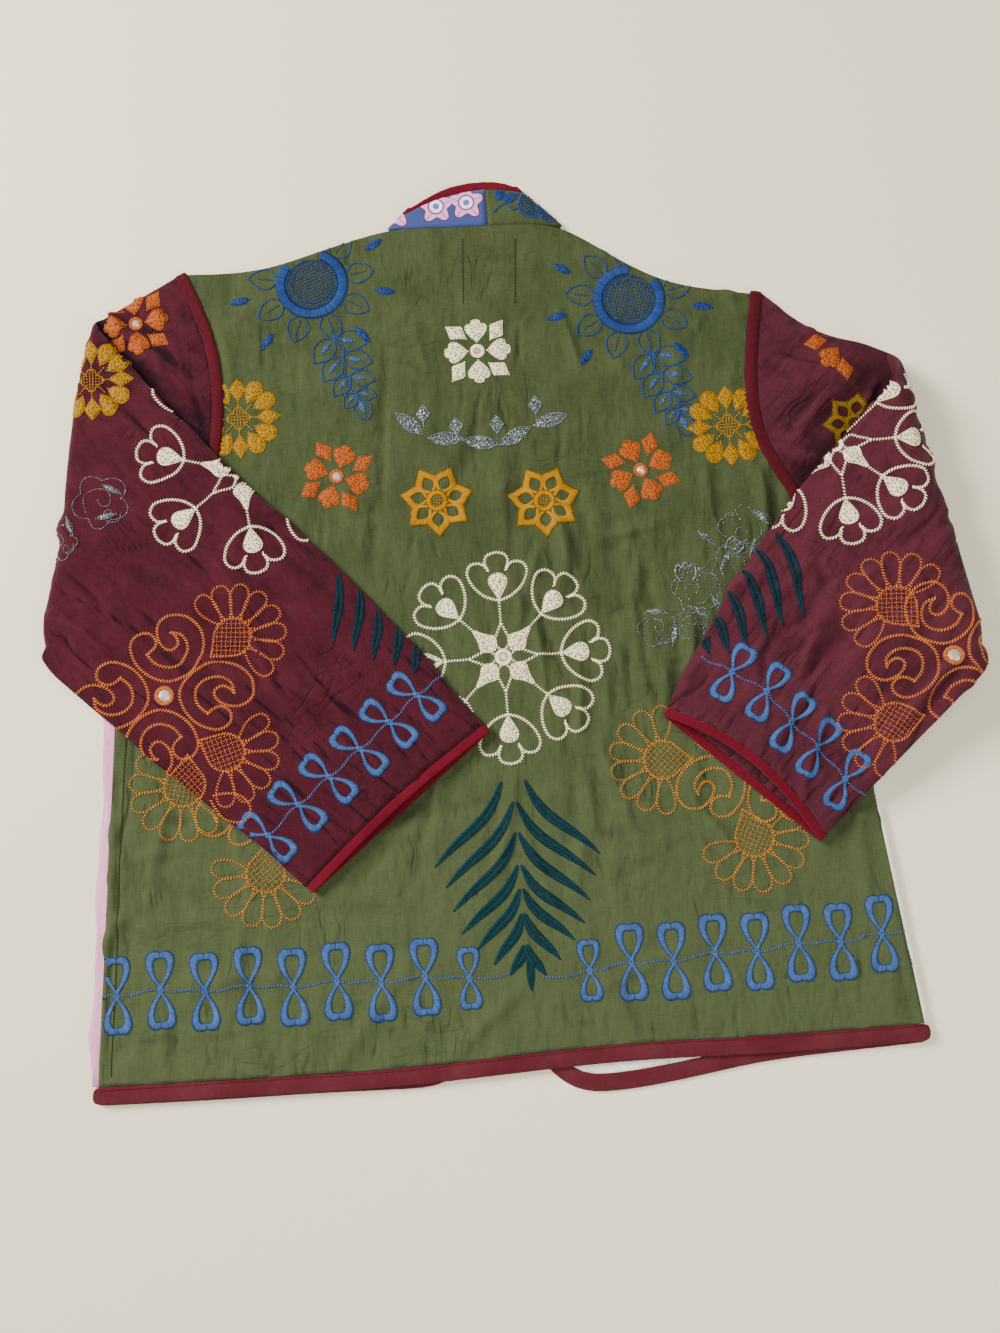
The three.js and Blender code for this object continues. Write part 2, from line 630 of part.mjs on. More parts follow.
addPiece('back_panel', backPanel(), COLOURS.green);
addPiece('back_hem_binding', backHemBinding(), COLOURS.hemRed);
for (const [name, side] of Object.entries(SIDES)) {
  const plan = sleevePlan(side, SLEEVES[name]);
  addPiece(`front_${name}`, frontWall(frontPanel(side)), name === 'left' ? COLOURS.pink : COLOURS.cream);
  addPiece(`front_${name}_binding`, frontBinding(side), COLOURS.hemRed);
  addPiece(`armhole_${name}_piping`, armholePiping(side), COLOURS.darkRed);
  addPiece(`sleeve_${name}`, sleeveCloth(plan), name === 'left' ? COLOURS.maroon : COLOURS.rose);
  addPiece(`cuff_${name}_binding`, cuffBinding(plan), COLOURS.red);
  addPiece(`collar_${name}`, collarHalf(name), name === 'left' ? COLOURS.print : COLOURS.green);
}
addPiece('collar_binding', collarBinding(), COLOURS.red);

const box = new THREE.Box3().setFromObject(jacket);
const middle = box.getCenter(new THREE.Vector3());
jacket.position.set(-middle.x, -middle.y, -box.min.z);

export default jacket;
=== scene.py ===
# %% [markdown]
# # A quilted patchwork jacket, laid face down
#
# The real jacket is cut from thin printed and plain cottons, lightly padded, bound in red along every
# open edge and covered with thread: chain-stitched outlines, satin-stitched loops and leaves, seeded
# petals and small mirrors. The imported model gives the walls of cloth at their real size. This lesson
# dresses them: first the cloth with its folds and puckers, then the bindings, then the embroidery.
#
# All sizes below are millimetres on the garment, with x = 0 at the centre back, y = 0 at the back hem
# and z = 0 on the table. One small function turns them into Blender's metres.

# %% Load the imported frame
import math

import bmesh
import bpy
import numpy as np
from mathutils import Matrix, Vector
from mathutils.bvhtree import BVHTree


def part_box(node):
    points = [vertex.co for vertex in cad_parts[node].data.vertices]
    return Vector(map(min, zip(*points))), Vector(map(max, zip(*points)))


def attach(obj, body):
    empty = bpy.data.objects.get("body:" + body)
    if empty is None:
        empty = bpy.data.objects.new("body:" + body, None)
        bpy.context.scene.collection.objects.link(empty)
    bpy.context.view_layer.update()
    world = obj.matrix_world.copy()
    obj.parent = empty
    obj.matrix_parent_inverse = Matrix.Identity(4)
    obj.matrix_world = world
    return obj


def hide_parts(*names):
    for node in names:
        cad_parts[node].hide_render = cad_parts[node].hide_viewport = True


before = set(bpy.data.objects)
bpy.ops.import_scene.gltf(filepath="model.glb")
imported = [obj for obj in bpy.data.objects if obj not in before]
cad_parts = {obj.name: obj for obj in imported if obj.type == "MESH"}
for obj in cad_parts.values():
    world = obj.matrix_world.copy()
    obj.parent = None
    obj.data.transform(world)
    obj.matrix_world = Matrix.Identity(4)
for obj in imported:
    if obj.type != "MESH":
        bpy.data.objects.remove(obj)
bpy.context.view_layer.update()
print("packed nodes:", len(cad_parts))

# %% [markdown]
# The frame's origin is the middle of the jacket's underside. The hem binding of the back starts 305 mm
# left of the centre back and dips 3 mm below the hem line, so its box gives the way from the garment's
# own millimetres to the frame.

# %% From garment millimetres to the frame
HEM_LEFT, HEM_DIP = 305, 3
hem_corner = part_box("back_hem_binding")[0] * 1000
ORIGIN = np.array([hem_corner.x + HEM_LEFT, hem_corner.y + HEM_DIP, 0.0])


def metres(points):
    """Garment millimetres, one point or many, as frame metres."""
    return (np.asarray(points, float) + ORIGIN) / 1000


def millimetres(points):
    """Frame metres as garment millimetres."""
    return np.asarray(points, float) * 1000 - ORIGIN


print("centre back meets the hem at", np.round(ORIGIN, 1), "mm in the frame")

# %% [markdown]
# ## Camera, table and light
#
# The jacket lies flat and is seen from a metre above, the camera a little on the hem side and turned a
# few degrees. The table is a pale sheet. Three large area lights make the soft light of a bright room,
# the strongest one high on the left so that the folds have a lit and a shaded side.

# %% Camera above the table
CAMERA_DISTANCE = 1000  # from the point that it looks at
CAMERA_TILT = math.radians(8)  # towards the hem
CAMERA_TURN = math.radians(4.3)
FOCAL_LENGTH = 37.0
LOOK_AT = np.array([0.0, 287.0, 0.0])  # on the centre back, half way up

right = Vector((math.cos(CAMERA_TURN), -math.sin(CAMERA_TURN), 0))
towards_hem = Vector((-math.sin(CAMERA_TURN), -math.cos(CAMERA_TURN), 0))
back = towards_hem * math.sin(CAMERA_TILT) + Vector((0, 0, math.cos(CAMERA_TILT)))
up = back.cross(right)
camera = bpy.data.objects.new("camera", bpy.data.cameras.new("camera"))
camera.data.lens = FOCAL_LENGTH
camera.matrix_world = (
    Matrix.Translation(Vector(metres(LOOK_AT)) + back * CAMERA_DISTANCE / 1000)
    @ Matrix((right, up, back)).transposed().to_4x4()
)
bpy.context.scene.collection.objects.link(camera)
bpy.context.scene.camera = camera
print("camera at", tuple(round(v, 3) for v in camera.location))

# %% Soft light


def area_light(name, at, size, watts, colour=(1, 1, 1)):
    """A square light that faces the jacket."""
    lamp = bpy.data.lights.new(name, "AREA")
    lamp.size = size
    lamp.energy = watts
    lamp.color = colour
    holder = bpy.data.objects.new(name, lamp)
    holder.location = at
    holder.rotation_euler = Vector(at).to_track_quat("Z", "Y").to_euler()
    bpy.context.scene.collection.objects.link(holder)
    return holder


area_light("window_light", (-1.95, 1.15, 1.5), 1.15, 178, (1.0, 0.98, 0.945))
area_light("ceiling_light", (0.2, -0.2, 2.6), 2.2, 55, (1.0, 0.99, 0.965))
area_light("room_light", (1.5, -1.5, 1.2), 2.2, 50, (1.0, 0.985, 0.97))

# %% [markdown]
# ## A small language for finishes
#
# Shader maths reads best as sums and products. `Value` wraps one socket of a material and overloads
# the operators, so `0.5 + 0.2 * grain` adds its own Math nodes. Colours are told by their codes, and
# turned into the linear numbers that shaders use.

# %% Colours and values


def linear(code):
    """An sRGB colour such as #5c6b3a as the linear colour that shaders use."""
    parts = [int(code[i:i + 2], 16) / 255 for i in (1, 3, 5)]
    return (*(c / 12.92 if c <= 0.04045 else ((c + 0.055) / 1.055) ** 2.4 for c in parts), 1.0)


class Value:
    """An output socket with arithmetic."""

    def __init__(self, finish, socket):
        self.finish, self.socket = finish, socket

    def maths(self, operation, *others, swapped=False):
        """Adds a Math node of this value and the others."""
        inputs = [self, *others]
        if swapped:
            inputs.reverse()
        node = self.finish.node("ShaderNodeMath", {"operation": operation}, dict(enumerate(inputs)))
        return Value(self.finish, node.outputs[0])

    def __add__(self, other): return self.maths("ADD", other)
    def __radd__(self, other): return self.maths("ADD", other)
    def __sub__(self, other): return self.maths("SUBTRACT", other)
    def __rsub__(self, other): return self.maths("SUBTRACT", other, swapped=True)
    def __mul__(self, other): return self.maths("MULTIPLY", other)
    def __rmul__(self, other): return self.maths("MULTIPLY", other)
    def __pow__(self, other): return self.maths("POWER", other)

    def clamp(self, low, high):
        """0 at low, 1 at high, smooth between them."""
        settings = {"interpolation_type": "SMOOTHSTEP"}
        node = self.finish.node("ShaderNodeMapRange", settings, {0: self, 1: low, 2: high})
        return Value(self.finish, node.outputs[0])


print("a middle grey, #808080, is", round(linear("#808080")[0], 3), "to a shader")

# %% [markdown]
# `Graph` has one method that adds any node: its settings first, then the values or links of its
# sockets. `Finish` is the graph of a material, with short names for the nodes that cloth and thread use.

# %% Graphs and finishes


class Graph:
    """A node tree under construction."""

    def __init__(self, tree):
        self.tree = tree

    def node(self, kind, settings=None, inputs=None):
        """Adds a node: its settings first, then the values or links of its sockets."""
        made = self.tree.nodes.new(kind)
        for key, value in (settings or {}).items():
            setattr(made, key, value)
        for key, value in (inputs or {}).items():
            self.plug(made.inputs[key], value)
        return made

    def out(self, kind, settings=None, inputs=None):
        """Adds a node and gives its first output."""
        return self.node(kind, settings, inputs).outputs[0]

    def plug(self, socket, value):
        """Links a socket to an input, or sets the input; a colour may be told by its code."""
        if isinstance(value, Value):
            value = value.socket
        if isinstance(value, str) and value.startswith("#"):
            value = linear(value)
        if isinstance(value, bpy.types.NodeSocket):
            self.tree.links.new(value, socket)
        else:
            socket.default_value = value


class Finish(Graph):
    """A material under construction."""

    def __init__(self, name):
        self.material = bpy.data.materials.new(name)
        self.material.use_nodes = True
        self.tree = self.material.node_tree
        self.tree.nodes.clear()
        self.surface = self.node("ShaderNodeBsdfPrincipled")
        self.node("ShaderNodeOutputMaterial", {}, {0: self.surface.outputs[0]})

    def set(self, **inputs):
        """Sets the surface's own sockets; an underscore stands for a space."""
        for key, value in inputs.items():
            self.plug(self.surface.inputs[key.replace("_", " ")], value)
        return self

    def flat_place(self, scale=(1, 1, 1), turn=0.0):
        """Places on the flat cloth, in metres, from the piece's own map."""
        plan = self.node("ShaderNodeUVMap", {"uv_map": "cloth"})
        return self.scaled(plan.outputs[0], scale, turn)

    def object_place(self):
        """Places in the object's own space, in metres."""
        return self.node("ShaderNodeTexCoord").outputs["Object"]

    def scaled(self, place, scale, turn=0.0):
        """Places stretched by a scale along each axis and turned about z."""
        inputs = {"Vector": place, "Scale": scale, "Rotation": (0, 0, turn)}
        return self.out("ShaderNodeMapping", {}, inputs)

    def noise(self, place, scale, detail=2.0, roughness=0.5):
        """Soft noise about 0.5."""
        inputs = {"Vector": place, "Scale": scale, "Detail": detail, "Roughness": roughness}
        return Value(self, self.node("ShaderNodeTexNoise", {}, inputs).outputs["Fac"])

    def attribute(self, name):
        """A number that the mesh carries on its points."""
        return Value(self, self.node("ShaderNodeAttribute", {"attribute_name": name}).outputs["Fac"])

    def blend(self, factor, first, second):
        """A mix of two colours."""
        node = self.node("ShaderNodeMix", {"data_type": "RGBA"}, {0: factor, 6: first, 7: second})
        return node.outputs[2]

    def bump(self, height, distance, strength=1.0, below=None):
        """A normal from a height, on top of another bump's if one is given."""
        inputs = {"Height": height, "Distance": distance, "Strength": strength}
        if below is not None:
            inputs["Normal"] = below
        return self.out("ShaderNodeBump", {}, inputs)


print("the language is ready")

# %% [markdown]
# ## Cotton
#
# The ground cloth is a thin plain-woven cotton. Close up it shows slubs, the thicker stretches of
# thread that run along the warp and the weft. Washing leaves soft lighter patches. The puckers get
# painted shade in their valleys, where light doesn't reach, and painted light on their ridges. The
# valleys come from an attribute that the cloth's own relief writes. The green is also lighter towards
# the hem. A picture of cloth would repeat; noise that is stretched along one axis gives slubs without
# end, so warp and weft are two of them, and thin creases, painted darker as shade, are the places where
# a third one passes its mean.

# %% Cotton
WEAVE = (1500, 110)  # cells a metre across a thread, and along it
PALER_FROM, PALER_TO, PALER = 0.05, 0.45, 0.6  # metres above the hem, and how much of the pale tone


def cotton(name, colour, dark, light, sheen=0.1, slub=1.0, wash=0.5, lean=0.0, creased=1.0, pale=None):
    """Plain-woven cotton with slubs, washed patches, creases that lean from the map's y, and painted shade
    and light.
    """
    f = Finish(name)
    warp = f.noise(f.flat_place((*WEAVE, 1)), 1.0, 2.0)
    weft = f.noise(f.flat_place((*WEAVE[::-1], 1)), 1.0, 2.0)
    patches = f.noise(f.flat_place(), 22.0, 4.0, 0.6)
    threads = (warp + weft) * 0.5
    leaned = f.flat_place(turn=math.radians(lean))

    def creases(scale, depth):
        """Thin valleys, 1 in their middle, where a stretched noise passes its mean."""
        wander = f.noise(f.scaled(leaned, scale), 1.0, 2.0, 0.55) - 0.5
        return (1 - wander.maths("ABSOLUTE").clamp(0.0, 0.05)) * depth

    some = f.noise(f.flat_place(), 16.0, 2.0).clamp(0.53, 0.68)
    others = f.noise(f.flat_place(), 13.0, 2.0).clamp(0.52, 0.66)
    lines = creases((62, 15, 1), 1.0) * some + creases((22, 60, 1), 0.6) * others
    swell = f.noise(f.scaled(leaned, (48, 19, 1)), 1.0, 3.0, 0.45)
    valley = f.attribute("valley")
    tone = f.blend(patches.clamp(0.34, 0.68) * wash, colour, light)
    # The green is lighter towards the hem.
    if pale:
        parts = f.node("ShaderNodeSeparateXYZ", {}, {0: f.flat_place()})
        near_hem = 1 - Value(f, parts.outputs[1]).clamp(PALER_FROM, PALER_TO)
        tone = f.blend(near_hem * PALER, tone, pale)
    slubs = f.blend(threads.clamp(0.42, 0.62) * (0.22 * slub), tone, light)
    gaps = f.blend((1 - threads.clamp(0.36, 0.5)) * (0.3 * slub), slubs, dark)
    # The thin creases are painted darker as well as bumped: painted shade.
    crease_shaded = f.blend(lines * (0.22 * creased), gaps, dark)
    # Painted light on the ridges and painted shade in the valleys, both from the relief's valley attribute.
    lit_ridges = f.blend((0 - valley).clamp(0.1, 1.0) * 0.4, crease_shaded, light)
    painted_shade = f.blend(valley.clamp(0.1, 1.0) * (0.5 * creased), lit_ridges, dark)
    soft = f.bump(swell - lines * 0.1, 0.0075 * creased, 0.8)
    grain = f.bump(threads, 0.0005, 0.5, below=soft)
    f.set(Base_Color=painted_shade, Roughness=0.9, Normal=grain, Specular_IOR_Level=0.1)
    f.set(Sheen_Weight=sheen, Sheen_Roughness=0.45)
    return f.material


GREEN = cotton("green_cotton", "#343d22", "#181d0d", "#454d2f", sheen=0.06, pale="#485134")
MAROON = cotton("maroon_cotton", "#370b17", "#12020a", "#4c1723", lean=-45, creased=1.7)
ROSE = cotton("rose_maroon_cotton", "#3f151f", "#18050a", "#52222d", lean=45, creased=1.3)
PINK = cotton("pink_cotton", "#d28cae", "#a4608a", "#e0a8c4")
CREAM = cotton("cream_cotton", "#ddd6c4", "#b9af98", "#ebe6da")

print("finishes:", [m.name for m in bpy.data.materials])

# %% [markdown]
# The table is only there for the jacket to lie on. One square does, a hair lower than the frame's
# zero, because two faces at one height would flicker.

# %% The table
TABLE_HALF, TABLE_TOP = 2.5, -0.0003
table_finish = Finish("table")
clouds = table_finish.noise(table_finish.object_place(), 6.0, 3.0)
table_tone = table_finish.blend(clouds * 0.5, "#ebe2c5", "#e6dec0")
table_finish.set(Base_Color=table_tone, Roughness=0.5)
table_mesh = bpy.data.meshes.new("table")
corners = [(x * TABLE_HALF, y * TABLE_HALF, TABLE_TOP) for x, y in ((-1, -1), (1, -1), (1, 1), (-1, 1))]
table_mesh.from_pydata(corners, [], [(0, 1, 2, 3)])
table_mesh.materials.append(table_finish.material)
table = bpy.data.objects.new("table", table_mesh)
bpy.context.scene.collection.objects.link(table)
print("table side", 2 * TABLE_HALF, "m")

# %% [markdown]
# ## From packed walls to soft cloth
#
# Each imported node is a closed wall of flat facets. Its copy is welded, its triangles are joined back
# into the four-sided cells that they came from, and Catmull-Clark subdivision rounds it. Creases hold
# the rims of the wall, so a seam stays where it is. Only the cells that can be seen get the last, finest
# divisions, because that is where the puckers go.

# %% Copy, weld and subdivide a wall
RIM_ANGLE = math.radians(70)  # between two cells that meet at a rim
CORNER_ANGLE = math.radians(38)  # the bend of a rim that makes a corner
CELL_ANGLE = math.radians(50)  # the most between two triangles of one cell
SAME_POINT, WALL_EDGE = 2e-6, 0.006  # metres: welded below the first, a wall's height below the second


def welded_copy(node):
    """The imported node's mesh as a bmesh of four-sided cells."""
    bm = bmesh.new()
    bm.from_mesh(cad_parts[node].data)
    bmesh.ops.remove_doubles(bm, verts=bm.verts, dist=SAME_POINT)
    bmesh.ops.join_triangles(
        bm, faces=bm.faces, angle_face_threshold=CELL_ANGLE, angle_shape_threshold=math.pi
    )
    return bm


def smooth_wall(node, levels, rim=1.0):
    """A Catmull-Clark copy of a wall, its rims held by creases."""
    bm = welded_copy(node)
    creases = bm.edges.layers.float.new("crease_edge")
    for edge in bm.edges:
        if len(edge.link_faces) == 2 and edge.calc_face_angle() > RIM_ANGLE:
            edge[creases] = rim
    for vertex in bm.verts:
        rims = [e for e in vertex.link_edges if e[creases] > 0]
        if len(rims) == 2:
            ways = [(e.other_vert(vertex).co - vertex.co).normalized() for e in rims]
            if ways[0].angle(-ways[1]) > CORNER_ANGLE:
                for edge in vertex.link_edges:
                    if edge not in rims and edge.calc_length() < WALL_EDGE:
                        edge[creases] = 1.0
    mesh = bpy.data.meshes.new(node)
    bm.to_mesh(mesh)
    bm.free()
    holder = bpy.data.objects.new("rough", mesh)
    bpy.context.scene.collection.objects.link(holder)
    modifier = holder.modifiers.new("soft", "SUBSURF")
    modifier.levels = modifier.render_levels = levels
    modifier.uv_smooth = "NONE"
    rounded = holder.evaluated_get(bpy.context.evaluated_depsgraph_get())
    fine_mesh = bpy.data.meshes.new_from_object(rounded)
    bpy.data.objects.remove(holder)
    return fine_mesh


def refine(mesh, seen):
    """Divides the cells that pass the test once more, in place."""
    bm = bmesh.new()
    bm.from_mesh(mesh)
    edges = {edge for face in bm.faces if seen(face) for edge in face.edges}
    bmesh.ops.subdivide_edges(bm, edges=list(edges), cuts=1, use_grid_fill=True)
    bm.to_mesh(mesh)
    bm.free()
    return mesh


def vertex_array(mesh, normals=False):
    """Each vertex's place, or its normal, as a row."""
    values = np.empty(len(mesh.vertices) * 3)
    if normals:
        mesh.vertex_normals.foreach_get("vector", values)
    else:
        mesh.vertices.foreach_get("co", values)
    return values.reshape(-1, 3)


def move_vertices(mesh, points):
    """Puts a mesh's vertices at new places."""
    mesh.vertices.foreach_set("co", points.ravel())
    mesh.update()


print("rims are held above", round(math.degrees(RIM_ANGLE)), "degrees")

# %% [markdown]
# ## The roll of a sleeve, and the map of the cloth
#
# Each sleeve leaves its armhole and is folded back about a slanting roll. Weave, puckers and stitches
# belong to the flat cloth, so they need its map: on the back and on the laid part of a sleeve that is
# just the plan, and on a roll the map goes on outwards by the length of cloth that the roll takes up.

# %% Rolls
STACK = 5.0  # the thickness of a sleeve's two layers
OUTSIDE_A_ROLL = 70  # from the roll's axis, well clear of the sleeve


class Roll:
    """The roll of a sleeve: s runs along its axis and d away from it, outwards."""

    def __init__(self, top, foot, outward, radius, sway=0.0):
        self.radius, self.sway = radius, sway
        self.start = np.array(top, float) - (outward * radius, 0)
        end = np.array(foot, float) - (outward * radius, 0)
        self.length = np.linalg.norm(end - self.start)
        self.along = (end - self.start) / self.length
        across = np.array((-self.along[1], self.along[0]))
        self.outwards = across * np.sign(across[0] * outward)

    def wander(self, s):
        """How far the axis sways aside at s."""
        return self.sway * np.sin(2 * np.pi * np.clip(s / self.length, 0, 1))

    def parts(self, plan):
        """The s and d of places in plan."""
        offset = np.asarray(plan, float)[..., :2] - self.start
        s = offset @ self.along
        return s, offset @ self.outwards - self.wander(s)

    def place(self, s, d):
        """The place in plan at s and d."""
        d = d + self.wander(s)
        return self.start + np.multiply.outer(s, self.along) + np.multiply.outer(d, self.outwards)

    def map(self, points):
        """The flat map of points in space: the laid sleeve's plan, carried on round the roll."""
        s, d = self.parts(points)
        height = points[:, 2] - self.radius
        reach = np.hypot(d, height)
        from_top = np.arctan2(d, height)
        outer_wall = reach > self.radius - STACK / 2
        unrolled = np.where(outer_wall, self.radius * from_top, (reach - 1) * (np.pi - from_top))
        return self.place(s, np.where(d > 0, unrolled, d))

    def ray(self, flat):
        """Where a stitch at a place of the map is looked for: a start in the air and a way down."""
        s, d = self.parts(flat)
        turn = np.clip(d / self.radius, 0, np.pi)
        axis = self.place(s, np.minimum(d, 0.0))
        way = np.array((*(self.outwards * math.sin(turn)), math.cos(turn)))
        return np.array((*axis, self.radius if d > 0 else 0.0)) + way * OUTSIDE_A_ROLL, -way


ROLLS = {
    "left": Roll((-285, 568), (-335, 322), -1, 7.7, sway=3.5),
    "right": Roll((312, 492), (349, 273), 1, 19.0),
}
for name, roll in ROLLS.items():
    print(f"{name} roll: {roll.length:.0f} mm long, takes up {math.pi * roll.radius:.0f} mm of cloth")

# %% [markdown]
# ## Folds and puckers
#
# A quilted cotton never lies smooth. The large soft folds come from how it was laid down, and the many
# short puckers from the quilting and the embroidery, which draw the cloth in. A cloth simulation would
# give other folds each time. Here each one is a furrow: a line with a width and a depth, bent a little,
# deepest in its middle, with a slight rise on both sides.

# %% Furrows
FURROW_REACH = 4  # widths from its line, past which a furrow is nothing
BEND, WAVER = 0.05, 0.12  # the bow of a furrow by its length, and its waver by its width
SIDE_RISE, SIDE_WIDTH = 0.45, 2.4  # the rise beside it, as shares of its depth and width


def furrow_heights(flat, rows):
    """The height that furrows give to flat places; a row is two ends, width and rise."""
    height = np.zeros(len(flat))
    for x0, y0, x1, y1, width, rise in rows:
        reach = FURROW_REACH * width
        near = np.flatnonzero(
            (flat[:, 0] > min(x0, x1) - reach) & (flat[:, 0] < max(x0, x1) + reach)
            & (flat[:, 1] > min(y0, y1) - reach) & (flat[:, 1] < max(y0, y1) + reach)
        )
        run = np.array((x1 - x0, y1 - y0), float)
        length = np.linalg.norm(run)
        offset = flat[near] - (x0, y0)
        t = offset @ run / length**2
        bend = BEND * length * math.sin(x0 * 1.7 + y0 * 0.9)
        aside = (offset[:, 0] * run[1] - offset[:, 1] * run[0]) / length
        aside = aside - bend * (1 - (2 * t - 1) ** 2) - WAVER * width * np.sin(9 * t + x0)
        taper = np.clip(1 - (2 * t - 1) ** 2, 0, 1) ** 0.8
        beside = SIDE_RISE * np.exp(-((aside / (SIDE_WIDTH * width)) ** 2))
        height[near] += rise * taper * (np.exp(-((aside / width) ** 2)) - beside)
    return height


def scattered(seed, count, box, turn, spread, lengths, widths, rises):
    """Rows for short puckers scattered over a box (x0, y0, x1, y1), turned about their direction."""
    draw = np.random.default_rng(seed)
    rows = []
    for _ in range(count):
        x, y = draw.uniform(box[0], box[2]), draw.uniform(box[1], box[3])
        angle = math.radians(turn + draw.normal(0, spread))
        half = draw.uniform(*lengths) / 2
        dx, dy = math.cos(angle) * half, math.sin(angle) * half
        rows.append((x - dx, y - dy, x + dx, y + dy, draw.uniform(*widths), draw.uniform(*rises)))
    return rows


print("a furrow reaches", FURROW_REACH, "times its width")

# %% [markdown]
# The back's main folds are given one by one. Between them a seeded generator scatters broad soft waves
# and small puckers in the direction that the stitching of that part pulls, closest round the
# embroidered middle and along the hem.

# %% Folds and puckers of the back
BACK_FURROWS = [
    (-64, 547, -81, 373, 3.6, -1.5), (-81, 420, -87, 350, 4.6, -1.9), (-88, 345, -92, 300, 5, -1.2),
    (3, 499, -6, 430, 2.4, -1.3), (-12, 504, -16, 472, 2, -1.1), (12, 493, 20, 455, 2.2, -1.2),
    (35, 552, 29, 510, 2.2, -1), (-159, 563, -161, 520, 2, -1), (-92, 627, -91, 597, 2, -0.9),
    (-74, 622, -74, 594, 1.9, -0.8), (58, 468, 53, 429, 2.4, -1.2), (76, 478, 74, 446, 2, -0.9),
    (80, 372, 146, 391, 7, 2.1), (70, 366, 114, 379, 5, -1.6), (108, 378, 101, 346, 3, -1.4),
    (96, 302, 95, 242, 3, -1.9), (109, 282, 113, 248, 3.4, -1.6), (122, 300, 119, 262, 3.4, 1),
    (-55, 397, -59, 369, 2.2, -1.1), (-119, 408, -124, 372, 2.4, -0.9), (150, 470, 146, 420, 2.4, -1),
    (48, 159, 118, 155, 4.6, -1.3), (72, 173, 126, 166, 3.8, -1.1), (60, 148, 132, 143, 6.5, 1.3),
    (150, 120, 214, 128, 5.5, -1.1), (201, 112, 202, 89, 2.4, -1.6), (230, 170, 262, 150, 6.5, 1.4),
    (-150, 123, -63, 113, 5, -1.2), (-140, 140, -84, 125, 5, 1.1), (-262, 150, -214, 128, 5.5, -1.1),
    (58, 40, 56, 19, 2.4, -1.3), (109, 38, 108, 17, 2.2, -1.1), (148, 39, 145, 20, 2.2, -1.2),
    (174, 33, 175, 16, 2, -1.1), (-85, 56, -84, 32, 2.2, -1.2), (-160, 38, -161, 16, 2.2, -1.1),
    (-215, 38, -213, 16, 2.1, -1.1), (10, 50, 9, 25, 2.3, -1.2), (-244, 37, -186, 42, 4.4, -0.9),
    (226, 38, 229, 15, 2.2, -1.1), (-40, 33, -38, 15, 2, -1), (262, 70, 266, 40, 2.6, -1),
    (-262, 330, -240, 300, 5, 1.4), (-208, 575, -170, 566, 4, 1), (176, 545, 150, 520, 5, 1.1),
    (-190, 560, -186, 500, 5, 1.3), (190, 520, 186, 470, 5, 1.2), (30, 240, 52, 200, 6, 1.2),
    (150, 350, 180, 330, 6, 1.4), (-30, 350, -34, 300, 5, 0.9), (70, 100, 20, 96, 5, -0.8),
    (-288, 240, -284, 120, 7, 1), (262, 240, 270, 130, 7, 1.1), (-130, 60, -60, 52, 6, 0.8),
    *scattered(51, 70, (-250, 330, 240, 560), 90, 12, (40, 120), (3.6, 7), (-1.9, 2.4)),
    *scattered(52, 60, (20, 180, 260, 400), 88, 10, (50, 140), (3.2, 6.5), (-2.4, 3)),
    *scattered(53, 60, (-290, 20, 270, 230), 90, 22, (40, 110), (4, 8), (-1.9, 2.6)),
    *scattered(54, 36, (-280, 20, 260, 350), 5, 12, (50, 140), (4, 8), (-1.5, 2)),
]
BACK_PUCKERS = [
    (-291.5, 18, -283, 130, 2.4, -1.5), (-284, 110, -278, 200, 2.4, -1.5), (-279, 180, -270, 300, 2.4, -1.5),
    *scattered(11, 100, (-70, 215, 110, 375), 90, 7, (12, 38), (1.2, 2), (-1, -0.45)),
    *scattered(12, 90, (-230, 370, 215, 555), 90, 10, (12, 44), (1.2, 1.9), (-0.55, -0.2)),
    *scattered(13, 60, (-70, 70, 90, 215), 88, 9, (8, 30), (1.2, 1.9), (-0.7, -0.3)),
    *scattered(14, 95, (-300, 16, 280, 62), 90, 9, (8, 24), (1.3, 2.2), (-1.05, -0.4)),
    *scattered(15, 70, (90, 180, 270, 380), 84, 12, (12, 40), (1.4, 2.4), (-1, -0.4)),
    *scattered(16, 80, (-300, 60, -40, 330), 92, 14, (8, 28), (1.3, 2.2), (-0.75, -0.3)),
    *scattered(17, 60, (60, 60, 280, 185), 90, 16, (8, 26), (1.3, 2.2), (-0.75, -0.3)),
    *scattered(18, 55, (-280, 16, 270, 330), 4, 12, (14, 44), (1.8, 3.2), (-0.6, -0.25)),
    *scattered(19, 40, (-200, 400, 190, 600), 20, 40, (14, 40), (2.4, 4.4), (0.3, 0.8)),
]
print("the back has", len(BACK_FURROWS), "folds and", len(BACK_PUCKERS), "puckers")

# %% [markdown]
# The sleeves' folds slant across the arm, from the roll towards the cuff. Each list starts with the
# laid part and goes on with the upper arm beneath it.

# %% Folds and puckers of the sleeves
LEFT_FURROWS = [
    (-322, 384, -278, 344, 4, -1.6), (-312, 392, -262, 355, 3.4, -1.3), (-184, 370, -122, 335, 3, -1.4),
    (-175, 359, -134, 315, 2.8, -1.3), (-163, 286, -128, 257, 3.6, -1.6), (-271, 458, -241, 413, 3, -1.1),
    (-203, 452, -138, 399, 3.2, -1), (-125, 281, -95, 237, 2.6, -1.3), (-113, 302, -79, 255, 2.6, -1.2),
    (-212, 373, -170, 347, 3.2, -1.1), (-300, 500, -262, 470, 5, 1.5), (-330, 350, -282, 318, 6, 1.8),
    (-230, 330, -180, 280, 7, 1.6), (-150, 350, -100, 300, 6, 1.5), (-190, 225, -150, 185, 5, 1.3),
    (-244, 581, -214, 519, 3.2, -1.4), (-230, 552, -203, 511, 3, -1.3), (-269, 566, -221, 545, 4, 1.4),
    (-213, 504, -228, 548, 4, 1.2), (-262, 240, -214, 196, 3.2, -1.2), (-206, 190, -150, 146, 2.4, -1.6),
    *scattered(55, 60, (-320, 170, -30, 520), -42, 14, (40, 120), (3.4, 7), (-2, 2.6)),
    *scattered(56, 18, (-300, 490, -195, 605), -48, 18, (30, 80), (3.2, 6), (-2, 2.6)),
]
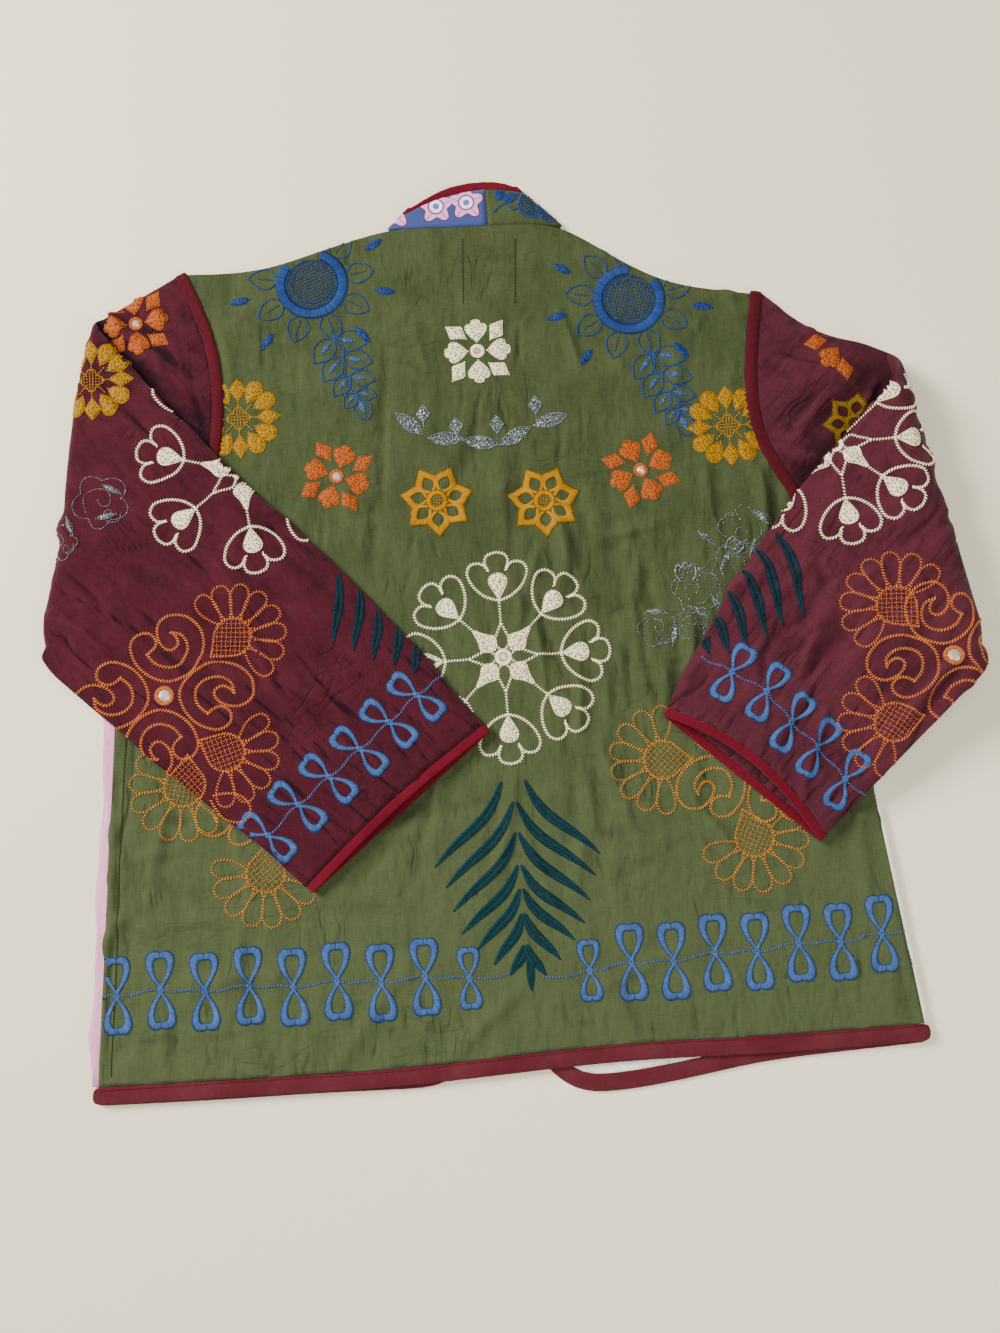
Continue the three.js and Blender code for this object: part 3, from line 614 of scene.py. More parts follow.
LEFT_PUCKERS = [
    *scattered(21, 58, (-320, 190, -60, 500), -40, 8, (30, 95), (1.3, 2), (-1, -0.4)),
    *scattered(22, 46, (-190, 140, -20, 290), -52, 7, (16, 48), (1.2, 1.8), (-1.1, -0.5)),
    *scattered(23, 34, (-300, 250, -60, 540), -30, 18, (20, 60), (2.2, 4), (-0.8, 0.7)),
    *scattered(24, 22, (-290, 500, -200, 610), -40, 30, (14, 40), (1.6, 3), (-1, 0.6)),
]
RIGHT_FURROWS = [
    (197, 291, 224, 306, 3, -1.6), (205, 279, 237, 299, 3, -1.5), (195, 351, 231, 373, 3.4, -1.2),
    (302, 343, 343, 372, 4, -1.7), (284, 344, 329, 381, 3.6, -1.5), (250, 287, 274, 317, 3, -1.3),
    (137, 259, 162, 284, 2.4, -1.3), (166, 230, 188, 257, 2.4, -1.3), (204, 213, 225, 238, 2.4, -1.3),
    (180, 300, 240, 350, 7, 1.8), (220, 250, 280, 300, 8, 1.9), (300, 400, 345, 420, 6, 1.6),
    (255, 235, 300, 262, 6, -1.5), (160, 265, 200, 300, 5, 1.2),
    (215, 513, 254, 515, 3.6, -1.1), (214, 502, 246, 474, 3.4, -1), (216, 478, 258, 487, 4.4, 1),
    (217, 458, 250, 439, 3.4, -1), (219, 439, 248, 422, 3.6, 0.9), (246, 536, 283, 507, 4.4, -1),
    (271, 501, 303, 482, 4.6, -1), (230, 530, 262, 500, 5, 1.2), (222, 420, 240, 405, 3.4, -0.8),
    *scattered(57, 56, (120, 150, 350, 480), 52, 14, (40, 110), (3.4, 7), (-2, 2.8)),
    *scattered(58, 20, (212, 400, 310, 545), -12, 26, (30, 80), (3.2, 6), (-0.9, 1.3)),
]
RIGHT_PUCKERS = [
    *scattered(31, 56, (130, 170, 350, 460), 49, 9, (24, 80), (1.3, 2), (-0.9, -0.35)),
    *scattered(32, 44, (110, 140, 260, 270), 47, 8, (14, 42), (1.2, 1.8), (-1.1, -0.5)),
    *scattered(33, 30, (170, 200, 350, 420), 60, 22, (20, 50), (2.4, 4.2), (-0.8, 0.8)),
    *scattered(34, 26, (212, 400, 310, 545), -25, 26, (12, 44), (1.4, 2.4), (-0.6, 0.4)),
]
print("the sleeves have", len(LEFT_FURROWS + RIGHT_FURROWS), "folds and",
      len(LEFT_PUCKERS + RIGHT_PUCKERS), "puckers")

# %% [markdown]
# Some helpers serve every piece: a search tree that tells what lies over a point, the map of the flat
# cloth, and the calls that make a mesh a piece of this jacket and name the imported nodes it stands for.

# %% Searching, mapping and making pieces
SKIN = 0.0006  # metres that a search starts off the cloth, so as not to find the cloth itself
# A valley's darkness is painted shade; it is full at this depth.
FULL_VALLEY = 0.9  # the depth that is as dark as a valley gets


def surface_tree(objects):
    """One search tree over several finished objects."""
    points, faces = [], []
    for item in objects:
        start = len(points)
        points.extend(v.co.copy() for v in item.data.vertices)
        faces.extend(tuple(start + i for i in p.vertices) for p in item.data.polygons)
    return BVHTree.FromPolygons(points, faces)


def is_free(tree, point, way, within):
    """True if nothing of the tree lies in front of a point, within a distance in metres."""
    start = Vector(point) + Vector(way) * SKIN
    return tree.ray_cast(start, Vector(way), within)[0] is None


def write_map(mesh, flat):
    """Stores flat places, in metres, as the piece's map."""
    layer = mesh.uv_layers.get("cloth") or mesh.uv_layers.new(name="cloth")
    index = np.empty(len(mesh.loops), int)
    mesh.loops.foreach_get("vertex_index", index)
    layer.data.foreach_set("uv", (flat[index] / 1000).ravel())


def make_piece(name, mesh, material, slot, *nodes):
    """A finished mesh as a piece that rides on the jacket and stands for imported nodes."""
    mesh.materials.clear()
    mesh.materials.append(material)
    mesh.polygons.foreach_set("use_smooth", [True] * len(mesh.polygons))
    piece = bpy.data.objects.new(name, mesh)
    bpy.context.scene.collection.objects.link(piece)
    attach(piece, "root")
    if nodes:
        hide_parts(*nodes)
    return piece


def write_valleys(mesh, relief):
    """Stores how deep each point lies in a valley, from -1 on a ridge to 1, for painted light and shade."""
    attribute = mesh.attributes.get("valley") or mesh.attributes.new("valley", "FLOAT", "POINT")
    attribute.data.foreach_set("value", np.clip(-relief / FULL_VALLEY, -1, 1).astype(np.float32))


cad_sleeves = surface_tree([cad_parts["sleeve_left"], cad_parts["sleeve_right"]])
print("the packed sleeves are ready to search")

# %% [markdown]
# A seam or an edge is a smooth line through a few measured points. The distance along it and to its
# side serves the bindings, whose gathers follow it, and the sleeves, whose puckers end at the armhole.

# %% Lines of seams and edges


def smooth_line(points, per=10):
    """A Catmull-Rom curve through points."""
    p = np.array([points[0], *points, points[-1]], float)
    t = np.linspace(0, 1, per, endpoint=False)[:, None]
    runs = [
        0.5 * (2 * b + (c - a) * t + (2 * a - 5 * b + 4 * c - d) * t**2 + (3 * b - a - 3 * c + d) * t**3)
        for a, b, c, d in zip(p, p[1:], p[2:], p[3:])
    ]
    return np.vstack([*runs, p[-1]])


def along_line(places, line):
    """Distance along a line and to its left, for each place."""
    best = np.full(len(places), 1e9)
    s_at, side_at, start = np.zeros(len(places)), np.zeros(len(places)), 0.0
    for a, b in zip(line, line[1:]):
        run = b - a
        length = np.linalg.norm(run)
        offset = places - a
        t = np.clip(offset @ run / length**2, 0, 1)
        away = np.linalg.norm(offset - np.multiply.outer(t, run), axis=1)
        aside = (run[0] * offset[:, 1] - run[1] * offset[:, 0]) / length
        closer = away < best
        best[closer], side_at[closer] = away[closer], aside[closer]
        s_at[closer] = (start + t * length)[closer]
        start += length
    return s_at, side_at


ARMHOLE_LINES = {
    "left": [(-216, 606), (-198, 548), (-196, 480), (-221, 400), (-284, 332)],
    "right": [(214, 560), (203, 490), (205, 442), (227, 400), (255, 306)],
}
for side, line in ARMHOLE_LINES.items():
    print(side, "armhole:", round(np.linalg.norm(np.diff(smooth_line(line), axis=0), axis=1).sum()), "mm")

# %% [markdown]
# The relief is put on the outer face alone, along each point's own normal, so the wall stays a thin
# shell on its solid's form. A point that the sleeve covers keeps only a little of it, because the
# sleeve's weight presses the cloth flat there. A valley levels out at the padding's depth instead of
# cutting through the wall.

# %% Relief
UPWARDS = 0.5  # the height of a normal from which a face looks up
DEEPEST = 1.75  # the padding's depth
# FOLD_SHADE is the share of a broad fold's depth that is painted as shade.
FOLD_GAIN, PUCKER_GAIN, FOLD_SHADE = 1.7, 1.4, 0.25
COVER_GAP, PRESSED = 0.004, 0.25  # metres to a cover, and the share of the relief left under it


def covered(tree, point):
    """True if the tree lies close above a point."""
    return not is_free(tree, point, (0, 0, 1), COVER_GAP)


def lay_relief(mesh, flat, rows, puckers, covers=None, outer=None, painted_shade=0.0, gain=1.0):
    """Moves the outer face by its furrows and puckers and remembers the valleys and any painted shade."""
    points, normals = vertex_array(mesh), vertex_array(mesh, normals=True)
    fold = gain * FOLD_GAIN * furrow_heights(flat, rows)
    fine = gain * PUCKER_GAIN * furrow_heights(flat, puckers)
    height = fold + fine
    height = np.where(height < 0, -DEEPEST * np.tanh(-height / DEEPEST), height)
    weight = (normals[:, 2] > UPWARDS).astype(float) if outer is None else outer(points, normals)
    if covers is not None:
        for i in np.flatnonzero(weight > 0):
            if covered(covers, points[i]):
                weight[i] *= PRESSED
    move_vertices(mesh, points + normals * (height * weight)[:, None] / 1000)
    write_valleys(mesh, (fine + FOLD_SHADE * fold) * weight - FULL_VALLEY * painted_shade)


print("valleys go down to", DEEPEST, "mm")

# %% [markdown]
# The back is one panel of deep green cotton. Three levels of subdivision and one more on the upper face
# alone bring its cells down to about two millimetres, the width of a narrow pucker.

# %% The back
BACK_LEVELS = 3


def faces_up(face):
    """True for a face that can be seen from above."""
    return face.normal.z > UPWARDS


def make_back():
    """The back's cloth, pressed flat where the sleeves lie on it."""
    mesh = refine(smooth_wall("back_panel", BACK_LEVELS), faces_up)
    flat = millimetres(vertex_array(mesh))[:, :2]
    write_map(mesh, flat)
    lay_relief(mesh, flat, BACK_FURROWS, BACK_PUCKERS, covers=cad_sleeves)
    return make_piece("back_cloth", mesh, GREEN, "green_cotton", "back_panel")


back_cloth = make_back()
print("back:", len(back_cloth.data.polygons), "cells")

# %% [markdown]
# A sleeve leaves its armhole, rolls over and lies on itself. The laid part's outer corner is a soft
# bend, so its plan is rounded to an arc. The angle under the laid part and the mouth of the cuff get
# hardly any light: painted shade is written there as valleys, which the cotton darkens. The armhole seam
# holds the cloth down, so the relief starts a few millimetres away from it.

# %% The shape of a sleeve
# The laid part's upper edge goes from the top of the roll to the cuff, and the cuff from there to its
# foot. The step is the height between the laid part and the upper arm.
# Dark is how strong the painted shade in the angle under the laid part is.
CROSSINGS = {
    "left": {"top": (-285, 568), "cuff": (-10, 240), "foot": (-144, 134), "corner": (-335, 322),
             "radius": 55, "step": 8.3, "dark": 0.8},
    "right": {"top": (312, 492), "cuff": (114, 242), "foot": (218, 143), "corner": (349, 273),
              "radius": 40, "step": 12, "dark": 1.5},
}
UPPER_ARM_FROM = 380  # above the hem
SHADE_FADE = 20  # the way over which the dark of the angle fades
# The cuff's mouth gets painted shade: how far in, how far below the step, and how strong.
MOUTH_DEPTH, MOUTH_DROP, MOUTH_SHADE = 18, 4, 1.1
SEAM_HOLD, SEAM_EASE = 4, 8  # no relief up to the first, all of it after both


def unit(vector):
    """A vector's direction."""
    vector = np.asarray(vector, float)
    return vector / np.linalg.norm(vector)


def side_normal(start, end, towards):
    """The direction across a line, on the side of a point."""
    run = unit(np.subtract(end, start))
    normal = np.array((-run[1], run[0]))
    return normal * np.sign(np.subtract(towards, start) @ normal)


def round_corner(points, corner, ends, radius):
    """Pulls a corner of a plan in to an arc, and everything before it in proportion."""
    ways = [unit(np.subtract(end, corner)) for end in ends]
    inwards = unit(ways[0] + ways[1])
    half = math.acos(ways[0] @ ways[1]) / 2
    middle = corner + inwards * radius / math.sin(half)
    offset = points[:, :2] - middle
    reach = np.maximum(np.linalg.norm(offset, axis=1), 1e-6)
    turned = np.arccos(np.clip(-(offset @ inwards) / reach, -1, 1))
    wedge = math.pi / 2 - half
    share = np.where(turned < wedge, np.cos(wedge - turned), 1.0)
    rounded = points.copy()
    rounded[:, :2] = middle + offset * share[:, None]
    return rounded


def sleeve_shade(side, plan):
    """How much painted shade a sleeve gets in the angle under its laid part and in its mouth."""
    top, cuff, foot, step, dark = (CROSSINGS[side][key] for key in ("top", "cuff", "foot", "step", "dark"))
    away = (plan[:, :2] - top) @ -side_normal(top, cuff, foot)
    below = (plan[:, 2] < step) & (plan[:, 1] > UPPER_ARM_FROM)
    shade = np.where(below, dark * np.exp(-np.maximum(away, 0) / SHADE_FADE), 0.0)
    inside = (plan[:, :2] - cuff) @ side_normal(cuff, foot, top)
    mouth = (inside < MOUTH_DEPTH) & (plan[:, 2] < step - MOUTH_DROP)
    return np.where(mouth, MOUTH_SHADE, shade)


def seam_hold(side, plan):
    """The share of the relief that the armhole seam leaves to the upper arm, and 1 on the laid part."""
    away = np.abs(along_line(plan[:, :2], smooth_line(ARMHOLE_LINES[side]))[1])
    upper_arm = plan[:, 2] < CROSSINGS[side]["step"]
    return np.where(upper_arm, np.clip((away - SEAM_HOLD) / SEAM_EASE, 0, 1), 1.0)


print("corner radii:", {side: crossing["radius"] for side, crossing in CROSSINGS.items()})

# %% [markdown]
# Only faces in the open are divided once more and take the relief. A face whose normal soon meets the
# sleeve's own cloth is inside the tube, and one that looks down at the table can't be seen.

# %% The sleeves
SLEEVE_LEVELS, SLEEVE_GAIN = 2, 1.35
CELL_SIGHT, POINT_SIGHT = 0.06, 0.05  # metres along which a cell or a point looks for its own cloth
CELL_DOWN, POINT_DOWN = 0.75, 0.6  # how far down a cell or a point may look
ON_TABLE = 0.0035  # metres: what is lower lies on the table


def make_sleeve(side, material, slot, furrows, puckers):
    """A sleeve whose open faces take the relief."""
    crossing = CROSSINGS[side]
    coarse = smooth_wall(f"sleeve_{side}", SLEEVE_LEVELS)
    own = BVHTree.FromPolygons([v.co for v in coarse.vertices], [p.vertices for p in coarse.polygons])

    def open_face(face):
        middle = face.calc_center_median()
        return face.normal.z > -CELL_DOWN and is_free(own, middle, face.normal, CELL_SIGHT)

    def outer(points, normals):
        weights = np.zeros(len(points))
        for i, (point, normal) in enumerate(zip(points, normals)):
            looks_out = normal[2] > -POINT_DOWN and point[2] > ON_TABLE
            if looks_out and is_free(own, point, normal, POINT_SIGHT):
                weights[i] = min(1.0, (normal[2] + POINT_DOWN) / POINT_DOWN)
        return weights * seam_hold(side, plan)

    mesh = refine(coarse, open_face)
    plan = millimetres(vertex_array(mesh))
    flat = ROLLS[side].map(plan)
    write_map(mesh, flat)
    ends = crossing["top"], crossing["foot"]
    move_vertices(mesh, metres(round_corner(plan, crossing["corner"], ends, crossing["radius"])))
    # Painted shade in the angle under the laid part and in the cuff's mouth.
    painted_shade = sleeve_shade(side, plan)
    lay_relief(mesh, flat, furrows, puckers, outer=outer, painted_shade=painted_shade, gain=SLEEVE_GAIN)
    return make_piece(f"sleeve_{side}_cloth", mesh, material, slot, f"sleeve_{side}")


sleeve_left_cloth = make_sleeve("left", MAROON, "maroon_cotton", LEFT_FURROWS, LEFT_PUCKERS)
sleeve_right_cloth = make_sleeve("right", ROSE, "rose_maroon_cotton", RIGHT_FURROWS, RIGHT_PUCKERS)
for piece in (sleeve_left_cloth, sleeve_right_cloth):
    print(piece.name, len(piece.data.polygons), "cells")

# %% [markdown]
# ## Bindings and piping
#
# Every open edge has a folded binding of red cotton. Its map runs along the edge, because its small
# gathers do too: thread pulls it into ripples whose length wanders and whose height comes and goes. The
# armhole piping is the same cotton over a soft cord: it stands higher, and its sides swell over the seam.

# %% Bound edges


def binding_cotton(name, colour, dark, light, wash=0.4):
    """A narrow strip of red cotton, smoother than the panels."""
    return cotton(name, colour, dark, light, sheen=0.08, slub=0.6, wash=wash, creased=0.4)


BINDING_RED = binding_cotton("red_binding_cotton", "#540415", "#2a0209", "#671022")
HEM_RED = binding_cotton("hem_binding_cotton", "#4b151d", "#2a0c10", "#602932", 0.5)
PIPING_RED = binding_cotton("piping_cotton", "#400610", "#1f0308", "#50101e")
TRIM_RIM = 0.35  # how firmly a trim's rims are held
TRIM_DOWN = 0.3  # how far down a side may look and still take the gathers
# The gathers' troughs are painted darker and their crests lighter: painted shade and light.
GATHER_SHADE = 1.6  # how much darker than its depth a gather is

BACK_HEM_LINE = [(-306, 5), (-200, 4), (-90, 3), (64, 8), (170, 6), (282, 6)]
CUFF_LINES = {"left": [(-8, 242), (-146, 132)], "right": [(112, 244), (220, 141)]}
FRONT_LINES = {
    "left": [(-305, 5), (-224, 3), (-148, 2), (-85, 1), (-45, 18), (-36, 45), (-6, 528)],
    "right": [(281, 5), (161, 0), (118, -6), (60, -12), (22, 4), (10, 32), (10, 528)],
}
COLLAR_LINE = [(-50, 642), (-15, 655), (16, 657), (36, 655), (46, 651)]


def make_trim(name, node, line, levels, material, slot, ripple, period, crown=0.0, width=7.0, swell=0.0):
    """A binding or piping with a crown and uneven gathers; its sides swell over the seam."""
    mesh = refine(smooth_wall(node, levels, TRIM_RIM), faces_up)
    plan = millimetres(vertex_array(mesh))[:, :2]
    s, aside = along_line(plan, smooth_line(line))
    write_map(mesh, np.column_stack((s, aside)))
    points, normals = vertex_array(mesh), vertex_array(mesh, normals=True)
    turn = 2 * np.pi * (s / period + 0.4 * np.sin(s / 17) + 0.25 * np.sin(s / 6.1 + 1)) + 0.35 * aside
    gathers = ripple * (np.sin(turn) + 0.5 * np.sin(2.3 * turn + 1)) * (0.6 + 0.4 * np.sin(s / 29))
    height = gathers + crown * (1 - np.clip(2 * aside / width, -1, 1) ** 2)
    weight = np.clip(normals[:, 2] + TRIM_DOWN, 0, 1)
    sideways = swell * (1 - np.abs(normals[:, 2]))
    move_vertices(mesh, points + normals * (height * weight + sideways)[:, None] / 1000)
    # Painted shade in the troughs of the gathers, painted light on their crests.
    write_valleys(mesh, gathers * GATHER_SHADE)
    return make_piece(name, mesh, material, slot, node)


trims = [make_trim("back_hem_band", "back_hem_binding", BACK_HEM_LINE, 3, HEM_RED, "hem_binding",
                   ripple=0.16, period=8.5, crown=0.5, width=12)]
for side in ("left", "right"):
    trims += [
        make_trim(f"front_{side}_band", f"front_{side}_binding", FRONT_LINES[side], 2, HEM_RED,
                  "hem_binding", ripple=0.12, period=9.0, width=12),
        make_trim(f"armhole_{side}_cord", f"armhole_{side}_piping", ARMHOLE_LINES[side], 3, PIPING_RED,
                  "armhole_piping", ripple=0.2, period=6.5, crown=0.5, swell=0.9),
        make_trim(f"cuff_{side}_band", f"cuff_{side}_binding", CUFF_LINES[side], 3, BINDING_RED,
                  "red_binding", ripple=0.16, period=6.0, crown=0.3),
    ]
trims.append(make_trim("collar_band", "collar_binding", COLLAR_LINE, 3, BINDING_RED, "red_binding",
                       ripple=0.14, period=9.0, crown=0.3))
print("trims:", sum(len(t.data.polygons) for t in trims), "cells")

# %% [markdown]
# The collar's two halves meet at the centre-back seam. One is a printed cotton: pink and white blossoms
# on a blue ground, a plain repeat worked out from the cells of a Voronoi pattern. Each cell's centre
# gives an angle and a distance, and a cosine of the angle cuts five petals. The colours are laid from
# the ground to the heart, as a printer lays them.

# %% Printed cotton
BLOSSOMS = 33.0  # in a metre of cloth
PETALS, PETAL_REACH, PETAL_CUT = 5.0, 11.2, 2.4  # their number, mean reach and the depth between them


def printed_cotton():
    """A blue print with pink and white blossoms; distances are in millimetres of print."""
    f = Finish("printed_cotton")
    place = f.flat_place()
    inputs = {"Vector": place, "Scale": BLOSSOMS, "Randomness": 0.3}
    cells = f.node("ShaderNodeTexVoronoi", {"voronoi_dimensions": "2D"}, inputs)
    away = f.node(
        "ShaderNodeVectorMath", {"operation": "SUBTRACT"}, {0: place, 1: cells.outputs["Position"]}
    )
    parts = f.node("ShaderNodeSeparateXYZ", {}, {0: away.outputs[0]})
    x, y = Value(f, parts.outputs[0]) * 1000, Value(f, parts.outputs[1]) * 1000
    distance = (x * x + y * y) ** 0.5
    wave = (x.maths("ARCTAN2", y) * PETALS).maths("COSINE")
    edge = distance - (wave * PETAL_CUT + PETAL_REACH)
    weave = f.noise(f.flat_place((1400, 1400, 1)), 1.0, 2.0)
    ground = f.blend(weave.clamp(0.35, 0.65) * 0.5, "#22336c", "#30417c")
    outlined = f.blend(1 - edge.clamp(0.7, 1.5), ground, "#33264d")
    petal = f.blend(1 - edge.clamp(-0.5, 0.0), outlined, "#df8cba")
    on_vein = wave.clamp(0.93, 0.99) * (1 - edge.clamp(-0.6, -0.1))
    veins = f.blend(on_vein * 0.8, petal, "#8a5a9a")
    rim = f.blend(1 - (distance - 6.2).clamp(-0.2, 0.5), veins, "#4a3468")
    heart = f.blend(1 - (distance - 5.0).clamp(-0.2, 0.4), rim, "#eddfe9")
    dots = f.blend(1 - (distance - 2.4).clamp(-0.2, 0.4), heart, "#4a5ea2")
    # Painted shade in the valleys, as on the plain cotton.
    valley = f.attribute("valley")
    painted_shade = f.blend(valley.clamp(0.1, 1.0) * 0.5, dots, "#3a2f52")
    f.set(Base_Color=painted_shade, Roughness=0.85, Normal=f.bump(weave, 0.0004, 0.5), Sheen_Weight=0.2)
    return f.material


PRINT = printed_cotton()
print("the print has", int(BLOSSOMS), "blossoms in a metre")

# %% [markdown]
# ## Fronts and collar
#
# The two fronts lie against the table, but a strip of each wraps round the side, so they are cloth of
# their own colour, pink on the left and cream on the right. The pink strip sticks out unevenly, so its
# edge is pushed out by two slow waves. The collar's small pieces take a few furrows of their own.

# %% Fronts and collar
COLLAR_FURROWS = [
    (-40, 640, -20, 634, 3, -0.8), (-14, 650, -16, 632, 2.2, -0.6), (30, 646, 46, 634, 3, -0.8),
    (52, 640, 44, 628, 2.4, -0.7), (4, 648, 3, 634, 2.4, 0.5), (22, 640, 24, 630, 2, -0.5),
]
BACK_SIDE_Y, BACK_SIDE_X = (20, 120, 240, 340), (-300, -292.5, -282, -272)


def wavy_side(plan):
    """How far sideways the left front's strip stands out past the back's side."""
    x, y = plan[:, 0], plan[:, 1]
    reach = 3.2 + 1.2 * np.sin(y / 19) + 0.7 * np.sin(y / 7.3 + 1)
    past_side = np.clip((np.interp(y, BACK_SIDE_Y, BACK_SIDE_X) - 1 - x) / 4, 0, 1)
    return -reach * past_side * np.clip((y - 18) / 25, 0, 1) * np.clip((345 - y) / 40, 0, 1)


def make_flat_cloth(node, material, slot, levels, rows, puckers, aside=None):
    """A piece of cloth whose map is its plan."""
    mesh = smooth_wall(node, levels)
    if aside is not None:
        plan = millimetres(vertex_array(mesh))
        plan[:, 0] += aside(plan)
        move_vertices(mesh, metres(plan))
    flat = millimetres(vertex_array(mesh))[:, :2]
    write_map(mesh, flat)
    lay_relief(mesh, flat, rows, puckers)
    return make_piece(f"{node}_cloth", mesh, material, slot, node)


FRONT_PUCKERS = [
    *scattered(41, 90, (-312, 20, -292, 330), 80, 30, (6, 18), (1.4, 2.4), (-0.6, 0.4)),
    *scattered(42, 90, (270, 20, 300, 310), 100, 30, (6, 18), (1.4, 2.4), (-0.6, 0.4)),
    *scattered(43, 60, (-60, -20, 80, 30), 80, 40, (8, 26), (1.6, 3), (-0.7, 0.4)),
]
front_left_cloth = make_flat_cloth("front_left", PINK, "pink_cotton", 2, [], FRONT_PUCKERS, wavy_side)
front_right_cloth = make_flat_cloth("front_right", CREAM, "cream_cotton", 2, [], FRONT_PUCKERS)
collar_left_cloth = make_flat_cloth("collar_left", PRINT, "printed_cotton", 3, COLLAR_FURROWS, [])
collar_right_cloth = make_flat_cloth("collar_right", GREEN, "green_cotton", 3, COLLAR_FURROWS, [])
print("fronts and collar are cloth")

# %% [markdown]
# ## Embroidery
#
# Machine embroidery covers the cloth: round blossoms, lotuses, a garland, eight-armed flowers, fern,
# vines and scrolls. There are four ways of working. An outline is a rope of slanted stitches; a fine line
# is a row of running stitches; a band is satin, threads lying side by side across it; a filled shape is
# packed with seed stitches that leave pinholes and stands up from the cloth. Modelling each stitch by
# hand is out of the question, and a picture of stitches would stay flat, so Geometry Nodes lay small
# beads of thread. One tree does all of it: edges marked 1 are ropes, 2 satin, 3 running stitches, and
# faces are fillings, which only pass through.

# %% The needlework tree
ROPE, SATIN, RUNNING = 1, 2, 3


def needlework_tree():
    """The tree that turns a pattern's edges into beads of thread and lets its faces through."""
    tree = bpy.data.node_groups.new("needlework", "GeometryNodeTree")
    wanted = [("Geometry", "Geometry"), ("Rope step", "Float"), ("Rope stitch", "Vector"),
              ("Rope slant", "Float"), ("Running step", "Float"), ("Running stitch", "Vector"),
              ("Running slant", "Float"), ("Satin stitch", "Vector"), ("Seed", "Int"), ("Thread", "Material")]
    for title, kind in wanted:
        tree.interface.new_socket(title, in_out="INPUT", socket_type=f"NodeSocket{kind}")
    tree.interface.new_socket("Geometry", in_out="OUTPUT", socket_type="NodeSocketGeometry")
    g = Graph(tree)
    given = g.node("NodeGroupInput").outputs

    def stored(name, kind):
        return g.out("GeometryNodeInputNamedAttribute", {"data_type": kind}, {"Name": name})

    def marked(value):
        """The edges whose way of working is this one."""
        inputs = {0: stored("way", "FLOAT"), 1: value, 2: 0.5}
        chosen = g.node("ShaderNodeMath", {"operation": "COMPARE"}, inputs)
        inputs = {"Geometry": given["Geometry"], "Selection": chosen.outputs[0]}
        return g.out("GeometryNodeSeparateGeometry", {"domain": "EDGE"}, inputs)

    up, wide = stored("up", "FLOAT_VECTOR"), stored("wide", "FLOAT")
    bead = g.out("GeometryNodeMeshUVSphere", {}, {"Segments": 4, "Rings": 3, "Radius": 0.5})
    joined = g.node("GeometryNodeJoinGeometry", {}, {0: marked(0.0)})

    def sow(points, run, size, slant=0.0):
        """Lays a bead on every point, its length along the run and its height upwards."""
        turned = g.out("FunctionNodeAlignRotationToVector", {"axis": "Z"}, {"Vector": run})
        inputs, upright = {"Rotation": turned, "Vector": up}, {"axis": "X", "pivot_axis": "Z"}
        turned = g.out("FunctionNodeAlignRotationToVector", upright, inputs)
        lean = g.out("ShaderNodeCombineXYZ", {}, {0: slant})
        inputs = {0: turned, 1: g.out("FunctionNodeEulerToRotation", {}, {0: lean})}
        turned = g.out("FunctionNodeRotateRotation", {"rotation_space": "LOCAL"}, inputs)
        inputs = {"Points": points, "Instance": bead, "Rotation": turned, "Scale": size}
        laid = g.out("GeometryNodeInstanceOnPoints", {}, inputs)
        chance = g.node("FunctionNodeRandomValue", {}, {"Seed": given["Seed"]}).outputs[1]
        settings = {"data_type": "FLOAT", "domain": "INSTANCE"}
        inputs = {"Geometry": laid, "Name": "shade", "Value": chance}
        kept = g.node("GeometryNodeStoreNamedAttribute", settings, inputs)
        g.plug(joined.inputs[0], kept.outputs[0])

    for value, title in ((ROPE, "Rope"), (RUNNING, "Running")):
        curve = g.out("GeometryNodeMeshToCurve", {}, {0: marked(value)})
        inputs = {"Curve": curve, "Length": given[f"{title} step"]}
        line = g.out("GeometryNodeResampleCurve", {"mode": "LENGTH"}, inputs)
        tangent = g.out("GeometryNodeInputTangent")
        inputs = {0: given[f"{title} stitch"], "Scale": wide}
        size = g.node("ShaderNodeVectorMath", {"operation": "SCALE"}, inputs)
        sow(line, tangent, size.outputs[0], given[f"{title} slant"])

    ends = g.node("GeometryNodeInputMeshEdgeVertices").outputs
    across = g.out("ShaderNodeVectorMath", {"operation": "SUBTRACT"}, {0: ends[3], 1: ends[2]})
    settings = {"data_type": "FLOAT_VECTOR", "domain": "EDGE"}
    inputs = {"Geometry": marked(SATIN), "Name": "run", "Value": across}
    threads = g.out("GeometryNodeStoreNamedAttribute", settings, inputs)
    points = g.out("GeometryNodeMeshToPoints", {"mode": "EDGES"}, {0: threads})
    run = stored("run", "FLOAT_VECTOR")
    length = g.node("ShaderNodeVectorMath", {"operation": "LENGTH"}, {0: run}).outputs["Value"]
    inputs = {0: given["Satin stitch"], 1: g.out("ShaderNodeCombineXYZ", {}, {2: length})}
    sow(points, run, g.out("ShaderNodeVectorMath", {"operation": "ADD"}, inputs))

    solid = g.out("GeometryNodeRealizeInstances", {}, {0: joined.outputs[0]})
    inputs = {"Geometry": solid, "Material": given["Thread"]}
    g.node("NodeGroupOutput", {}, {0: g.out("GeometryNodeSetMaterial", {}, inputs)})
    return tree


NEEDLEWORK = needlework_tree()
STITCH_SIZES = {
    "Rope step": 0.0021, "Rope stitch": (0.0013, 0.0015, 0.0032), "Rope slant": 0.95,
    "Running step": 0.0021, "Running stitch": (0.0009, 0.0011, 0.0025), "Running slant": 0.12,
    "Satin stitch": (0.0011, 0.00105, 0.0005),
}


